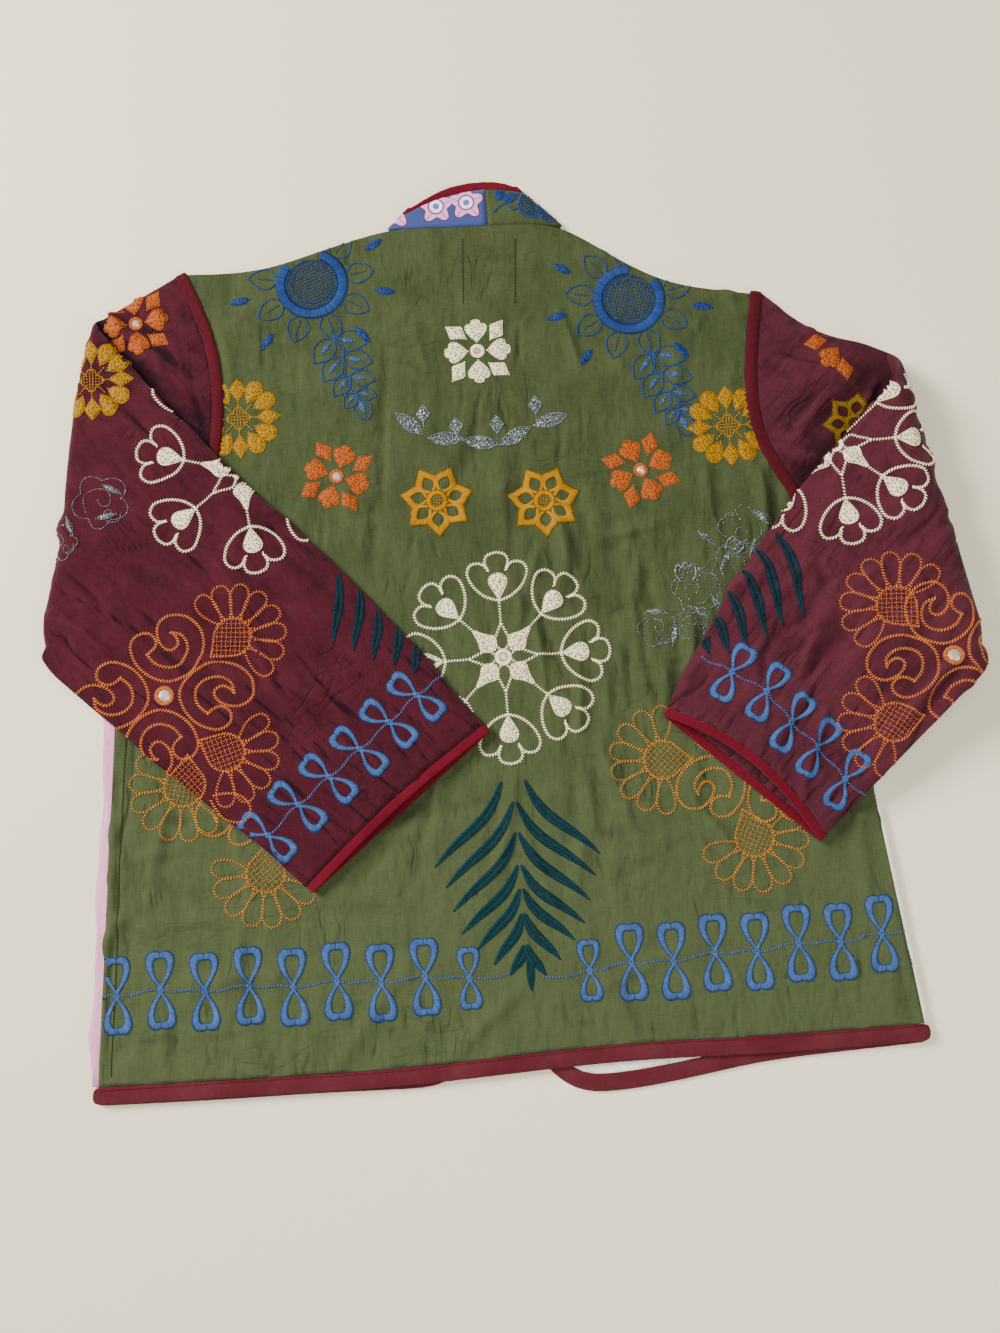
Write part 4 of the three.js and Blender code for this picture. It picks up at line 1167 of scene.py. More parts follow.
def work_stitches(name, mesh, material, seed):
    """Runs the tree over a pattern and returns the finished mesh."""
    pattern = bpy.data.objects.new(name + "_pattern", mesh)
    bpy.context.scene.collection.objects.link(pattern)
    modifier = pattern.modifiers.new("needlework", "NODES")
    modifier.node_group = NEEDLEWORK
    given = {**STITCH_SIZES, "Seed": seed, "Thread": material}
    for item in NEEDLEWORK.interface.items_tree:
        if item.in_out == "INPUT" and item.name in given:
            modifier[item.identifier] = given[item.name]
    evaluated = pattern.evaluated_get(bpy.context.evaluated_depsgraph_get())
    done = bpy.data.meshes.new_from_object(evaluated)
    pattern.modifiers.clear()
    bpy.data.objects.remove(pattern)
    bpy.data.meshes.remove(mesh)
    return done


print("needlework tree:", len(NEEDLEWORK.nodes), "nodes")

# %% [markdown]
# The motifs are worked out here by formula, each in its own millimetres with its arm pointing up; they
# are then turned, moved to their places on the flat cloth and only last laid on it. A stroke is its way
# of working, its colour, its points and its width; a filling's way is 0 and its width is its height.

# %% Strokes


def dense(points, step=1.3):
    """Points at even steps along a line."""
    points = np.asarray(points, float)
    at = np.concatenate(([0], np.cumsum(np.linalg.norm(np.diff(points, axis=0), axis=1))))
    wanted = np.linspace(0, at[-1], max(3, int(at[-1] / step) + 1))
    return np.column_stack([np.interp(wanted, at, points[:, i]) for i in (0, 1)])


def half_shape(right):
    """A closed outline from its right half, told from the foot to the top."""
    curve = smooth_line(right, 7)
    return np.vstack((curve, (curve * (-1, 1))[::-1]))


def arc(centre, radius, first, last, count=24):
    """Points round a centre between two angles, at one radius or one each."""
    turns = np.radians(np.linspace(first, last, count))
    radius = np.broadcast_to(radius, turns.shape)
    return np.column_stack((centre[0] + radius * np.cos(turns), centre[1] + radius * np.sin(turns)))


def rope(colour, points, wide=1.0): return [(ROPE, colour, dense(points), wide)]
def fine(colour, points, wide=1.0): return [(RUNNING, colour, dense(points), wide)]


def filling(colour, outline, edge=0.8, height=0.6):
    """A shape packed with seed stitches, inside a fine line."""
    outline = dense(outline, 1.1)[:-1]
    closed = np.vstack((outline, outline[:1]))
    return [(0, colour, outline, height), (RUNNING, colour, closed, edge)]


def satin(colour, first, second, spacing=0.8):
    """Threads from rail to rail."""
    length = max(np.linalg.norm(np.diff(dense(rail), axis=0), axis=1).sum() for rail in (first, second))
    count = max(3, int(length / spacing))
    rails = [dense(rail, 0.3) for rail in (first, second)]
    picked = [rail[np.linspace(0, len(rail) - 1, count).round().astype(int)] for rail in rails]
    return [(SATIN, colour, np.stack(picked, axis=1), 1.0)]


def moved(strokes, turn=0.0, at=(0, 0), flip=False, size=1.0):
    """Strokes mirrored if asked, scaled, turned by degrees and moved."""
    c, s = math.cos(math.radians(turn)), math.sin(math.radians(turn))
    matrix = np.array(((c, s), (-s, c))) * size
    side = np.array((-1 if flip else 1, 1))
    return [(way, colour, (points * side) @ matrix + at, wide) for way, colour, points, wide in strokes]


def around(strokes, turns):
    """The same strokes at several turns."""
    return [stroke for turn in turns for stroke in moved(strokes, turn)]


print("ten millimetres of line are", len(dense([(0, 0), (0, 10)])), "points")

# %% [markdown]
# The eight-armed flower is one arm, worked over and over: a kite, a stem and a tulip for its head.

# %% Hearts, lozenges and arms


def small_heart(colour):
    half = [(0, 7.4), (0, 7.4), (4.4, 11.4), (7.7, 16.2), (7.6, 20), (5, 21.4), (3.3, 20.6), (3.6, 22.8),
            (2.2, 24.3), (0, 24.6)]
    return filling(colour, half_shape(half))


def lozenge(colour, middle, long, short, skew=0.0):
    foot, top = (skew, middle - long / 2), (-skew, middle + long / 2)
    return filling(colour, [foot, (short / 2, middle), top, (-short / 2, middle), foot])


def ring(colour, inner, outer):
    return satin(colour, arc((0, 0), inner, 0, 360, 40), arc((0, 0), outer, 0, 360, 40))


def lattice(colour, outline, spacing=3.2, turn=45, wide=0.7):
    """Crossing threads inside a convex outline."""
    strokes = []
    for angle in (turn, turn + 90):
        c, s = math.cos(math.radians(angle)), math.sin(math.radians(angle))
        u, v = outline @ (c, s), outline @ (-s, c)
        for level in np.arange(v.min() + spacing / 2, v.max(), spacing):
            cuts = sorted(
                u[i - 1] + (u[i] - u[i - 1]) * (level - v[i - 1]) / (v[i] - v[i - 1])
                for i in range(len(u)) if (v[i] > level) != (v[i - 1] > level)
            )
            if len(cuts) >= 2 and cuts[-1] - cuts[0] > 2:
                ends = np.array([(a * c - level * s, a * s + level * c) for a in (cuts[0], cuts[-1])])
                strokes += fine(colour, ends, wide)
    return strokes


def hearts_flower(colour):
    skewed = lozenge(colour, 21.5, 17, 12.5, 1.5)
    return around(small_heart(colour), (0, 90, 180, 270)) + around(skewed, (45, 135, 225, 315))


# An arm's head is a tulip: one side of its cup, its pointed tip and the drop inside it.
ARM_REACH = 42.0
CUP = [(0, 42), (0, 42), (9, 45), (17.5, 52.5), (22, 62), (20, 68.6), (15.5, 70.6), (10, 69.4), (6.5, 64.5)]
TIP = [(6.5, 64.5), (8.6, 70.5), (6.6, 75.8)]
DROP = half_shape([(0, 43), (0, 43), (3.2, 48), (6.7, 55.5), (5, 60.6), (0, 62.4)])


def tulip_head(colour):
    return rope(colour, half_shape([*CUP, *TIP, (0, 78)])) + filling(colour, DROP)


def turned_head(colour):
    """A tulip head on the edge of a fold: its drop and the half of its outline that stays in sight."""
    tip = rope(colour, smooth_line([*TIP, (1, 77)]))
    return rope(colour, smooth_line(CUP, 7)) + tip + filling(colour, DROP)


def open_kite(colour):
    return rope(colour, half_shape([(1.5, 5.5), (5.8, 11), (3.2, 18), (0, 25.5)]), 0.9)


def full_kite(colour):
    return filling(colour, half_shape([(0, 8), (4, 10), (7.2, 15), (3.4, 22), (1.2, 28), (0, 29.5)]))


def arm(colour, full):
    """A kite and the stem that goes out from it."""
    stem = rope(colour, [(0, 27 if full else 25), (0, ARM_REACH)], 0.85)
    return (full_kite(colour) if full else open_kite(colour)) + stem


def armed_flower(colour, turns, first_full=False):
    """Arms with alternating kites round a ring."""
    strokes = ring(colour, 3.2, 6.4)
    for i, turn in enumerate(turns):
        strokes += moved(arm(colour, (i % 2 == 0) == first_full) + tulip_head(colour), turn)
    return strokes


print("an armed flower has", len(armed_flower("cream", range(0, 360, 45))), "strokes")

# %% [markdown]
# The lotus is satin: each side of a petal is a band of threads between two rails. A vine's loops are the
# same kind of band, and grow in pairs from a wavy stem.

# %% Lotuses, petals and vines


def lotus(colour):
    """Seven satin petals with a latticed heart."""
    outer = [(3.2, 8), (5.9, 11), (8.8, 16.5), (6.6, 20.5), (3.4, 23.5), (0, 28)]
    inner = [(0.3, 8.8), (2.8, 10.8), (4.0, 13.8), (2.6, 17), (0, 19)]
    petal = []
    for side in (1, -1):
        rails = [smooth_line(np.array(rail) * (side, 1)) for rail in (outer, inner)]
        petal += satin(colour, *rails)
    # Dark lines between the petals in a darker mustard: painted shade.
    petal += fine("bronze", half_shape(outer), 0.7)
    heart = ring(colour, 4.6, 8.2) + lattice(colour, arc((0, 0), 4.5, 0, 360), 2.0, 0)
    return around(petal, np.arange(7) * 360 / 7 + 180) + heart + fine(colour, arc((0, 0), 6.2, 0, 360), 1.1)


def many_petals(colour):
    """Lozenges and pairs of petals round a latticed quatrefoil."""
    strokes = around(lozenge(colour, 22, 18, 12.5), (0, 90, 180, 270))
    lobe = filling(colour, half_shape([(0, 13.5), (3.6, 17.5), (5.9, 23.5), (5.1, 28.5), (0, 31.5)]), 0.8)
    strokes += around(moved(lobe, 14.5) + moved(lobe, -14.5), (45, 135, 225, 315))
    quatrefoil = arc((0, 0), 7.4 + 1.4 * np.cos(np.radians(4 * np.linspace(0, 360, 40))), 0, 360, 40)
    strokes += fine(colour, quatrefoil) + lattice(colour, quatrefoil, 2.2, 0)
    return strokes + around(fine(colour, [(0, 8), (0, 13)]), (0, 45, 90, 135, 180, 225, 270, 315))


def loop(colour, edge, size=1.0):
    """A vine's satin loop, growing upwards from its node."""
    outer = [(0.6, 0.5), (2.6, 3.5), (5.4, 7.5), (8, 12), (9.8, 18), (9.6, 23), (7, 26.3), (3.2, 26.8),
             (0, 25.8)]
    inner = [(0.2, 3.5), (1.6, 6), (3.2, 9), (4.5, 13), (4.9, 17), (4.1, 20.6), (2, 21.8), (0, 21.6)]
    strokes = []
    for side in (1, -1):
        rails = [smooth_line(np.array(rail) * size * (side, 1)) for rail in (outer, inner)]
        strokes += satin(colour, *rails) + fine(edge, rails[0], 0.85) + fine(edge, rails[1], 0.6)
    return strokes


def vine(nodes, colour, edge, up, down, size=1.0, small_end=0.8):
    """A wavy stem with a pair of loops on each node."""
    nodes = np.array(nodes, float)
    line = [nodes[0]]
    for a, b in zip(nodes, nodes[1:]):
        along = unit(b - a)
        aside = np.array((-along[1], along[0]))
        line += [a + (b - a) * 0.3 - aside * 0.9, a + (b - a) * 0.7 + aside * 0.9, b]
    strokes = rope(colour, smooth_line(line), 0.8)
    for i, node in enumerate(nodes[:-1]):
        here = size * (small_end if i == 0 else 1.0)
        for turn in (up, down):
            strokes += moved(loop(colour, edge, here), turn, node)
        strokes += moved(ring(colour, 0.6, 2.2), 0, node)
    return strokes


def leaf(colour, base, tip, width, bend=0.12):
    """A leaf of two rows of slanting threads on either side of its midrib."""
    base, tip = np.array(base, float), np.array(tip, float)
    run = tip - base
    aside = np.array((-run[1], run[0]))
    t = np.linspace(0, 1, max(6, int(np.linalg.norm(run) / 0.85)))
    sway = np.sin(2 * np.pi * t) * bend * 0.35 + np.sin(np.pi * t) * bend
    rib = base + np.outer(t, run) + np.outer(sway, aside)
    reach = width / 2 * np.sin(np.pi * np.clip(t, 0, 1) ** 0.85) ** 0.8
    ahead = np.minimum(np.arange(len(t)) + 2, len(t) - 1)
    normal = aside / np.linalg.norm(aside)
    strokes = []
    for side in (1, -1):
        edge = rib[ahead] + np.outer(reach[ahead] * side, normal)
        strokes.append((SATIN, colour, np.stack((rib, edge), axis=1)[1:-1], 1.0))
    return strokes


print("a lotus has", len(lotus("mustard")), "strokes")

# %% [markdown]
# The daisies, the whorls and the blossoms at the shoulders are outlines and lattices; the blossoms are
# plainer than the real ones. The metallic sprig is ragged: clouds, slivers and crowns along a stem.

# %% Daisies, whorls, blossoms and sprigs


def daisy(colour, petals=8, spread=26):
    """A latticed disc, its point downwards, with outlined petals round its head."""
    disc = np.vstack(([(0, -21)], arc((0, 0), 13.5, -32, 212, 30), [(0, -21)]))
    strokes = rope(colour, disc, 0.9) + lattice(colour, disc, 3.3, 45)
    petal = half_shape([(2.0, 14.6), (4.2, 19), (6.3, 26), (6.5, 32), (4.4, 37.2), (0, 39)])
    for i in range(petals):
        strokes += moved(rope(colour, petal, 0.85), (i - (petals - 1) / 2) * spread)
    return strokes


def scroll(colour):
    """A thick curl to the right of a middle: a blunt tail, a sweep, a round head and a pointed hook."""
    outside = [(32, -13.5), (37, -9), (43, -8), (49, -13), (47.5, -21.5), (38, -26), (24, -21), (14, -9),
               (11.5, 5), (20, 19), (35, 26.5), (51, 25), (62.5, 14.5), (63.5, 1), (55, -7), (44.5, -6.5),
               (37.5, -1.5), (36, 4.5), (41, 8.5), (47, 6.5), (50, 3)]
    inside = [(50, 3), (48, 11), (39, 15.5), (28.5, 13), (22.5, 4.5), (24.5, -6.5), (32, -13.5)]
    return rope(colour, smooth_line(outside, 6), 1.05) + rope(colour, smooth_line(inside, 6), 1.05)


def whorl(colour, size=1.0):
    """Two pairs of mirrored curls round a ring for a glass."""
    curl = scroll(colour)
    pair = curl + moved(curl, -90, flip=True)
    curls = [(way, c, points * (1.0, 0.92), wide) for way, c, points, wide in pair + moved(pair, 180)]
    return moved(curls, size=size) + ring(colour, 4.6, 7.2)


def blossom(colour, edge):
    """A generic round blossom: a latticed disc in a filled ring, outlined petals, four buds."""
    strokes = satin(colour, arc((0, 0), 18.5, 0, 360, 66), arc((0, 0), 26.5, 0, 360, 66), 0.7)
    disc = arc((0, 0), 18, 0, 360, 40)
    strokes += lattice(edge, disc, 2.4, 20, 0.8) + fine(edge, disc) + fine(edge, disc * 0.8)
    petal = half_shape([(3.8, 27), (7.6, 32), (5.6, 40), (0, 46)])
    strokes += around(fine(colour, petal, 1.2) + fine(colour, [(0, 29), (0, 39)]), np.arange(9) * 40)
    bud = filling(colour, half_shape([(0, 46), (2.4, 50), (2.2, 56), (0, 61)]))
    return strokes + around(bud, (60, 100, 140, 220, 260, 300))


def trail(colour, accent):
    """Leaves in pairs on a stem that hangs from a blossom and ends in a bud."""
    strokes = fine(colour, smooth_line([(0, 40), (-4, 56), (4, 76), (0, 98)]), 1.1)
    outline = half_shape([(0, 0), (5.6, 6), (6, 13), (0, 20.5)])
    vein = half_shape([(0, 4), (1.4, 8), (0, 14)])
    for s, size in ((46, 1.2), (62, 1.15), (78, 0.95), (92, 0.75)):
        for turn in (58, -58):
            strokes += moved(fine(colour, outline, 1.2) + filling(accent, vein), turn, (0, s), size=size)
    bud = half_shape([(0, 96), (6.4, 103), (4.6, 111), (0, 115)])
    return strokes + fine(colour, bud, 1.2) + filling(accent, half_shape([(0, 99), (2, 104), (0, 110)]))


def cloud(colour):
    """A ragged blossom in metallic thread: a lobed outline and loose curls inside it."""
    around_it = np.linspace(0, 360, 80)
    lobes = 8.6 + 3.4 * np.abs(np.sin(np.radians(around_it * 2.5 + 9 * np.sin(np.radians(around_it * 3)))))
    curl = smooth_line([(-7, -2), (-6.5, 4), (-1, 6.5), (4, 4), (3.5, -1), (0, -1.5), (-1, 1.5)])
    outline = arc((0, 0), lobes + 0.9 * np.sin(np.radians(around_it)), 0, 360, 80)
    small_curl = moved(fine(colour, curl, 0.8), 150, (3, -5), size=0.6)
    return fine(colour, outline, 0.85) + fine(colour, curl, 0.8) + small_curl


def sliver(colour):
    """A narrow petal worked full."""
    return filling(colour, half_shape([(0, -7.5), (1.5, -3), (1.7, 2), (0, 7.5)]), 0.9, 0.7)


def crown(colour):
    """A small bud with a heavy edge."""
    edge = smooth_line([(-5, -5.5), (-7.5, 1), (-5, 6.5), (-2, 4.5), (0.5, 7.5), (3.5, 4.5), (7, 5.5),
                        (7.5, -1), (5, -5.5)])
    return fine(colour, edge, 1.7) + fine(colour, edge * 0.62, 0.8)


def sprig(colour):
    """Ragged blossoms with slivers and a crown, from the foot of a stem to its top."""
    clouds = ((0, 0, 0, 1.2), (26, 4, 60, 1.05), (30, 30, 140, 1.5), (60, 44, 20, 1.6), (66, 74, 200, 1.7))
    slivers = ((0, 13, 82), (13, -4, -12), (38, 68, 52), (52, 52, -28), (62, 62, -50), (44, 20, 30),
               (72, 60, -15), (30, 14, 60), (78, 84, 40))
    strokes = fine(colour, smooth_line([(14, 26), (20, 40), (36, 46), (50, 62)]), 0.8)
    for x, y, turn, size in clouds:
        strokes += moved(cloud(colour), turn, (x, y), size=size)
    strokes += moved(crown(colour), 8, (22, 42)) + moved(crown(colour), -40, (58, 62), size=0.8)
    for x, y, turn in slivers:
        strokes += moved(sliver(colour), turn, (x, y))
    return strokes


print("a sprig has", len(sprig("silver")), "strokes")

# %% [markdown]
# The colours are polyester and rayon thread. No two stitches catch the light alike, so each bead has its
# own shade from the tree, and a Voronoi pattern gives the pinholes between the seeds of a filling. The
# metallic thread is grey with bright flecks.

# %% Thread colours
SEEDS = 470.0  # in a metre of filling


def thread(name, colour, dark, light, metal=0.0, rough=0.5, flecks=False):
    """A thread: its colour, the dark of the pinholes and the light of the brightest stitch."""
    f = Finish(name + "_thread")
    shade, is_fill = f.attribute("shade"), f.attribute("fill")
    ground = f.blend(shade * 0.8, colour, light)
    place = f.flat_place()
    seeds = f.node("ShaderNodeTexVoronoi", {"voronoi_dimensions": "2D"}, {"Vector": place, "Scale": SEEDS})
    away = Value(f, seeds.outputs["Distance"])
    holes = (1 - away.clamp(0.18, 0.4)) * is_fill
    body = f.blend(holes * 0.9, ground, dark)
    roughness = rough
    if flecks:
        spots = f.noise(f.object_place(), 900.0, 1.0).clamp(0.56, 0.7)
        body = f.blend(spots * 0.7, body, "#c9ced0")
        roughness = rough - spots * 0.25
    f.set(Base_Color=body, Metallic=metal, Roughness=roughness, Specular_IOR_Level=0.08)
    f.set(Normal=f.bump(away, 0.0006, is_fill * 0.8))
    return f.material


THREADS = {name: thread(name, *looks) for name, looks in {
    "cream": ("#e6dab4", "#4f4b2c", "#f0e6c8"),
    "blue": ("#345080", "#1a2846", "#486595"),
    "deep_blue": ("#1c3466", "#101c3a", "#28477c"),
    "navy": ("#1b2b52", "#0f1830", "#273f70"),
    "mustard": ("#946705", "#4d3907", "#aa760d"),
    # A darker copy of the mustard: painted shade.
    "bronze": ("#654809", "#2f2205", "#785812"),
    "orange": ("#9c4a17", "#552a10", "#b05a24"),
    "rust": ("#976224", "#553811", "#ac7a38"),
    "amber": ("#a8572a", "#6b3a1c", "#bb6a38"),
    "deep_teal": ("#0b222b", "#030d12", "#12323d"),
    "teal": ("#092a31", "#030f13", "#103942"),
    "silver": ("#4a5151", "#151a19", "#6c7373", 0.2, 0.4, True),
    "seam": ("#1c210f", "#0c0f06", "#282e18"),
    "plum": ("#1d050c", "#0d0205", "#2b0f18"),
    "red": ("#5d0512", "#2f0208", "#711424"),
}.items()}
print("thread colours:", len(THREADS))

# %% [markdown]
# Each stroke is dropped on its cloth: straight down on the back, towards the axis where a sleeve rolls
# over. A stitch is left out where it would leave its layer of cloth, go in under a sleeve, or jump from
# one layer to the next, which shows because it would be much longer than it is on the flat cloth.

# %% Finding the cloth
ABOVE_ALL = 60.0  # over the table, well clear of every layer
STEEPEST = 0.3  # the least that the cloth may face the needle
STRETCH, SLACK = 1.5, 1.0  # the most that a stitch may grow from the flat cloth to the laid one
STEP_CHANGE = 385  # from the hem, where the first of a sleeve's two steps gives way to the second


class Ground:
    """A cloth that is sewn on; on a sleeve, its laid part is high and its upper arm isn't."""

    def __init__(self, name, *pieces, roll=None, high=None, steps=None, covers=None):
        self.name, self.roll, self.high, self.steps, self.covers = name, roll, high, steps, covers
        self.tree = surface_tree(pieces)

    def on_layer(self, spot, height):
        """True if a stitch at a place and height is on this ground's layer of a sleeve."""
        step = self.steps[1] if spot[1] > STEP_CHANGE else self.steps[0]
        rolls_over = self.roll.parts(spot)[1] > 0
        return (height > step) == self.high or (self.high and rolls_over)

    def lay(self, flat):
        """Places on the cloth for places on the map, the normals there, and which may be sewn."""
        places, ups, free = np.zeros((len(flat), 3)), np.zeros((len(flat), 3)), np.zeros(len(flat), bool)
        for i, spot in enumerate(flat):
            if self.roll is None:
                start, way = np.array((*spot, ABOVE_ALL)), np.array((0.0, 0.0, -1.0))
            else:
                start, way = self.roll.ray(spot)
            hit, normal, _, _ = self.tree.ray_cast(Vector(metres(start)), Vector(way))
            if hit is None:
                continue
            if normal.dot(Vector(way)) > 0:
                normal = -normal
            places[i], ups[i] = hit, normal
            free[i] = (
                normal.dot(Vector(way)) < -STEEPEST
                and (self.high is None or self.on_layer(spot, hit.z * 1000))
                and (self.covers is None or not covered(self.covers, hit))
            )
        return places, ups, free


def on_one_layer(places, flats, corners):
    """True unless the stitch would jump from one layer of cloth to another."""
    corners = list(corners)
    stretch = np.linalg.norm(places[corners] - places[corners[0]], axis=1).max() * 1000
    return stretch < STRETCH * np.linalg.norm(flats[corners] - flats[corners[0]], axis=1).max() + SLACK


print("a stitch may grow to", STRETCH, "times its length and", SLACK, "mm")

# %% [markdown]
# A pattern collects all the strokes of one colour on one cloth, so that the tree runs once for each. A
# filling is three rings and a middle point, low at the rim, so it swells from the cloth like padding.

# %% Patterns
THREAD_LIFT = 0.0003  # metres from the cloth to a thread's middle
RINGS, RING_HEIGHTS, MIDDLE_HEIGHT = (1.0, 0.86, 0.5), (1.0, 1.2), 1.25  # as shares of a filling's own
RIM_SINK = -0.00005  # metres: a filling's rim goes in under its edge line


class Pattern:
    """Edges and faces that wait for the needlework tree."""

    def __init__(self):
        self.points, self.ups, self.wides, self.flats = [], [], [], []
        self.edges, self.ways, self.faces = [], [], []

    def add_points(self, places, ups, flats, wide, rise):
        """Adds points at a rise over the cloth and returns the number of the first."""
        start = len(self.points)
        self.points.extend(places + ups * rise)
        self.ups.extend(ups)
        self.wides.extend([wide] * len(places))
        self.flats.extend(flats)
        return start

    def stitch(self, way, laid, flats, wide=1.0, every=1):
        """Edges from each point to the next, or one for every two points."""
        places, ups, free = laid
        start = self.add_points(places, ups, flats, wide, THREAD_LIFT)
        for i in range(0, len(places) - 1, every):
            if free[i] and free[i + 1] and on_one_layer(places, flats, (i, i + 1)):
                self.edges.append((start + i, start + i + 1))
                self.ways.append(way)

    def fill(self, laid, flats, heights):
        """Rings from the rim to the middle, each of the same count, then one middle point."""
        places, ups, free = laid
        start = self.add_points(places, ups, flats, 1.0, heights[:, None])
        count = (len(places) - 1) // len(RINGS)
        for r in range(len(RINGS)):
            for i in range(count):
                j = (i + 1) % count
                outer = r * count + i, r * count + j
                last = r == len(RINGS) - 1
                inner = (len(places) - 1,) if last else ((r + 1) * count + j, (r + 1) * count + i)
                corners = (*outer, *inner)
                if all(free[c] for c in corners) and on_one_layer(places, flats, corners):
                    self.faces.append(tuple(start + c for c in corners))

    def mesh(self, name):
        """The pattern as a mesh with what the tree and the thread read from it."""
        mesh = bpy.data.meshes.new(name)
        mesh.from_pydata([tuple(p) for p in self.points], self.edges, self.faces)
        known = {tuple(sorted(edge)): way for edge, way in zip(self.edges, self.ways)}
        ways = [known.get(tuple(sorted(edge.vertices)), 0) for edge in mesh.edges]
        in_face = np.zeros(len(mesh.vertices))
        for face in mesh.polygons:
            in_face[list(face.vertices)] = 1
        up = mesh.attributes.new("up", "FLOAT_VECTOR", "POINT")
        up.data.foreach_set("vector", np.array(self.ups, np.float32).ravel())
        kept = (("wide", "POINT", self.wides), ("way", "EDGE", ways), ("fill", "POINT", in_face))
        for title, domain, values in kept:
            attribute = mesh.attributes.new(title, "FLOAT", domain)
            attribute.data.foreach_set("value", np.array(values, np.float32))
        write_map(mesh, np.array(self.flats))
        return mesh


PATTERNS = {}


def sew(ground, strokes):
    """Lays strokes on a cloth and keeps them by cloth and colour."""
    for way, colour, points, wide in strokes:
        pattern = PATTERNS.setdefault((ground.name, colour), Pattern())
        if way == SATIN:
            flat = points.reshape(-1, 2)
            pattern.stitch(way, ground.lay(flat), flat, every=2)
        elif way:
            pattern.stitch(way, ground.lay(points), points, wide)
        else:
            middle = points.mean(axis=0)
            flat = np.vstack((*(middle + (points - middle) * share for share in RINGS), middle))
            heights = [RIM_SINK, *(share * wide / 1000 for share in RING_HEIGHTS)]
            heights = np.append(np.repeat(heights, len(points)), MIDDLE_HEIGHT * wide / 1000)
            pattern.fill(ground.lay(flat), flat, heights)


def sew_at(ground, strokes, *places, flip=False):
    """Sews the same strokes at each place: x, y and, where they matter, a turn and a size."""

    def put(x, y, turn=0.0, size=1.0):
        sew(ground, moved(strokes, turn, (x, y), flip, size))

    for place in places:
        put(*place)


print("a filling has", len(RINGS), "rings")

# %% [markdown]
# The grounds are the cloths to sew on: the back as far as no sleeve covers it, and each sleeve twice,
# for its laid part and for the upper arm beneath. The steps are the heights that part the two. Nearer
# the hem the right sleeve lies flatter, and so its first step is lower.

# %% The grounds
LEFT = {"roll": ROLLS["left"], "steps": (8.3, 8.3)}
RIGHT = {"roll": ROLLS["right"], "steps": (7.5, 12)}
sleeves_tree = surface_tree([sleeve_left_cloth, sleeve_right_cloth])
BACK = Ground("back", back_cloth, covers=sleeves_tree)
COLLAR = Ground("collar", collar_right_cloth)
LEFT_ARM = Ground("left_sleeve", sleeve_left_cloth, high=True, **LEFT)
LEFT_TOP = Ground("left_shoulder", sleeve_left_cloth, high=False, **LEFT)
RIGHT_ARM = Ground("right_sleeve", sleeve_right_cloth, high=True, **RIGHT)
RIGHT_TOP = Ground("right_shoulder", sleeve_right_cloth, high=False, **RIGHT)
print("grounds:", [ground.name for ground in (BACK, COLLAR, LEFT_ARM, LEFT_TOP, RIGHT_ARM, RIGHT_TOP)])

# %% [markdown]
# The motifs come in pairs but not in mirror: handwork sits a little higher on one side, so each has its
# own place and turn.

# %% The upper back
for x, y, flip in ((-120, 588, False), (118, 558, True)):
    sew(BACK, moved(blossom("deep_blue", "navy"), 0, (x, y), flip, 1.05))
    sew(BACK, moved(trail("deep_blue", "blue"), -162, (x, y), flip))
sew_at(BACK, hearts_flower("cream") + ring("cream", 2.4, 5.6), (1, 526))

GARLAND = smooth_line([(-60, 477), (-30, 461), (2, 455), (34, 461), (65, 475)])
POD = [(0, -13), (3.4, -8), (5.2, -1), (4, 6), (0, 13), (-4, 6), (-5.2, -1), (-3.4, -8), (0, -13)]
for i in range(5):
    at, ahead = GARLAND[int((i + 0.5) * 8) - 1], GARLAND[int((i + 0.5) * 8) + 1]
    turn = math.degrees(math.atan2(*(ahead - at)[::-1])) - 90 + (12 if i % 2 else -12)
    sew(BACK, moved(filling("silver", POD, 1.1, 0.4), turn, at))
bud = filling("silver", [(0, -7), (5, 0), (0, 7), (-5, 0), (0, -7)], 1.1, 0.4)
bud += fine("silver", [(0, -12), (0, -6)])
sew_at(BACK, bud, (-43, 480), (-19, 469), (11, 468), (41, 481))

sew_at(BACK, hearts_flower("orange") + ring("orange", 3.2, 5.6), (-110, 437, -22), (115, 425, 22))
sew_at(BACK, many_petals("mustard"), (-180, 487), (183, 454))
sew_at(BACK, lotus("mustard"), (-37, 413), (42, 407))
sew_at(BACK, armed_flower("cream", range(0, 360, 45)), (3, 293))
sew_at(BACK, sprig("silver"), (116, 305, -4))

print("sewn so far:", len(PATTERNS), "patterns")

# %% [markdown]
# The lower back has a fern of slanting leaves, a vine along the hem to both sides of it, daisies with
# whorls above the vine, and the lines of small seams.

# %% The lower back
LEAF_FEET = [189, 167, 144, 127, 110, 88]
LEFT_TIPS = [(-57, 146), (-50, 131), (-46, 114), (-41, 98), (-31, 86), (-20, 75), (-9, 67)]
RIGHT_TIPS = [(61, 147), (56, 132), (51, 115), (46, 99), (38, 88), (27, 75), (16, 65)]
for tips, side in ((LEFT_TIPS, -1), (RIGHT_TIPS, 1)):
    sew(BACK, leaf("teal", (3 + 8 * side, 204), tips[0], 7.7, -0.07 * side))
    for foot, tip in zip(LEAF_FEET, tips[1:]):
        sew(BACK, leaf("teal", (3 + 0.8 * side, foot), tip, 7.7, -0.07 * side))
sew(BACK, leaf("teal", (4, 78), (5, 55), 6, 0.03))


def hem_vine_nodes(x, y, across, up, count):
    """Nodes along the hem, every other one a little higher."""
    return [(x + across * i, y + up * i + (1.5 if i % 2 else -1.0)) for i in range(count)]


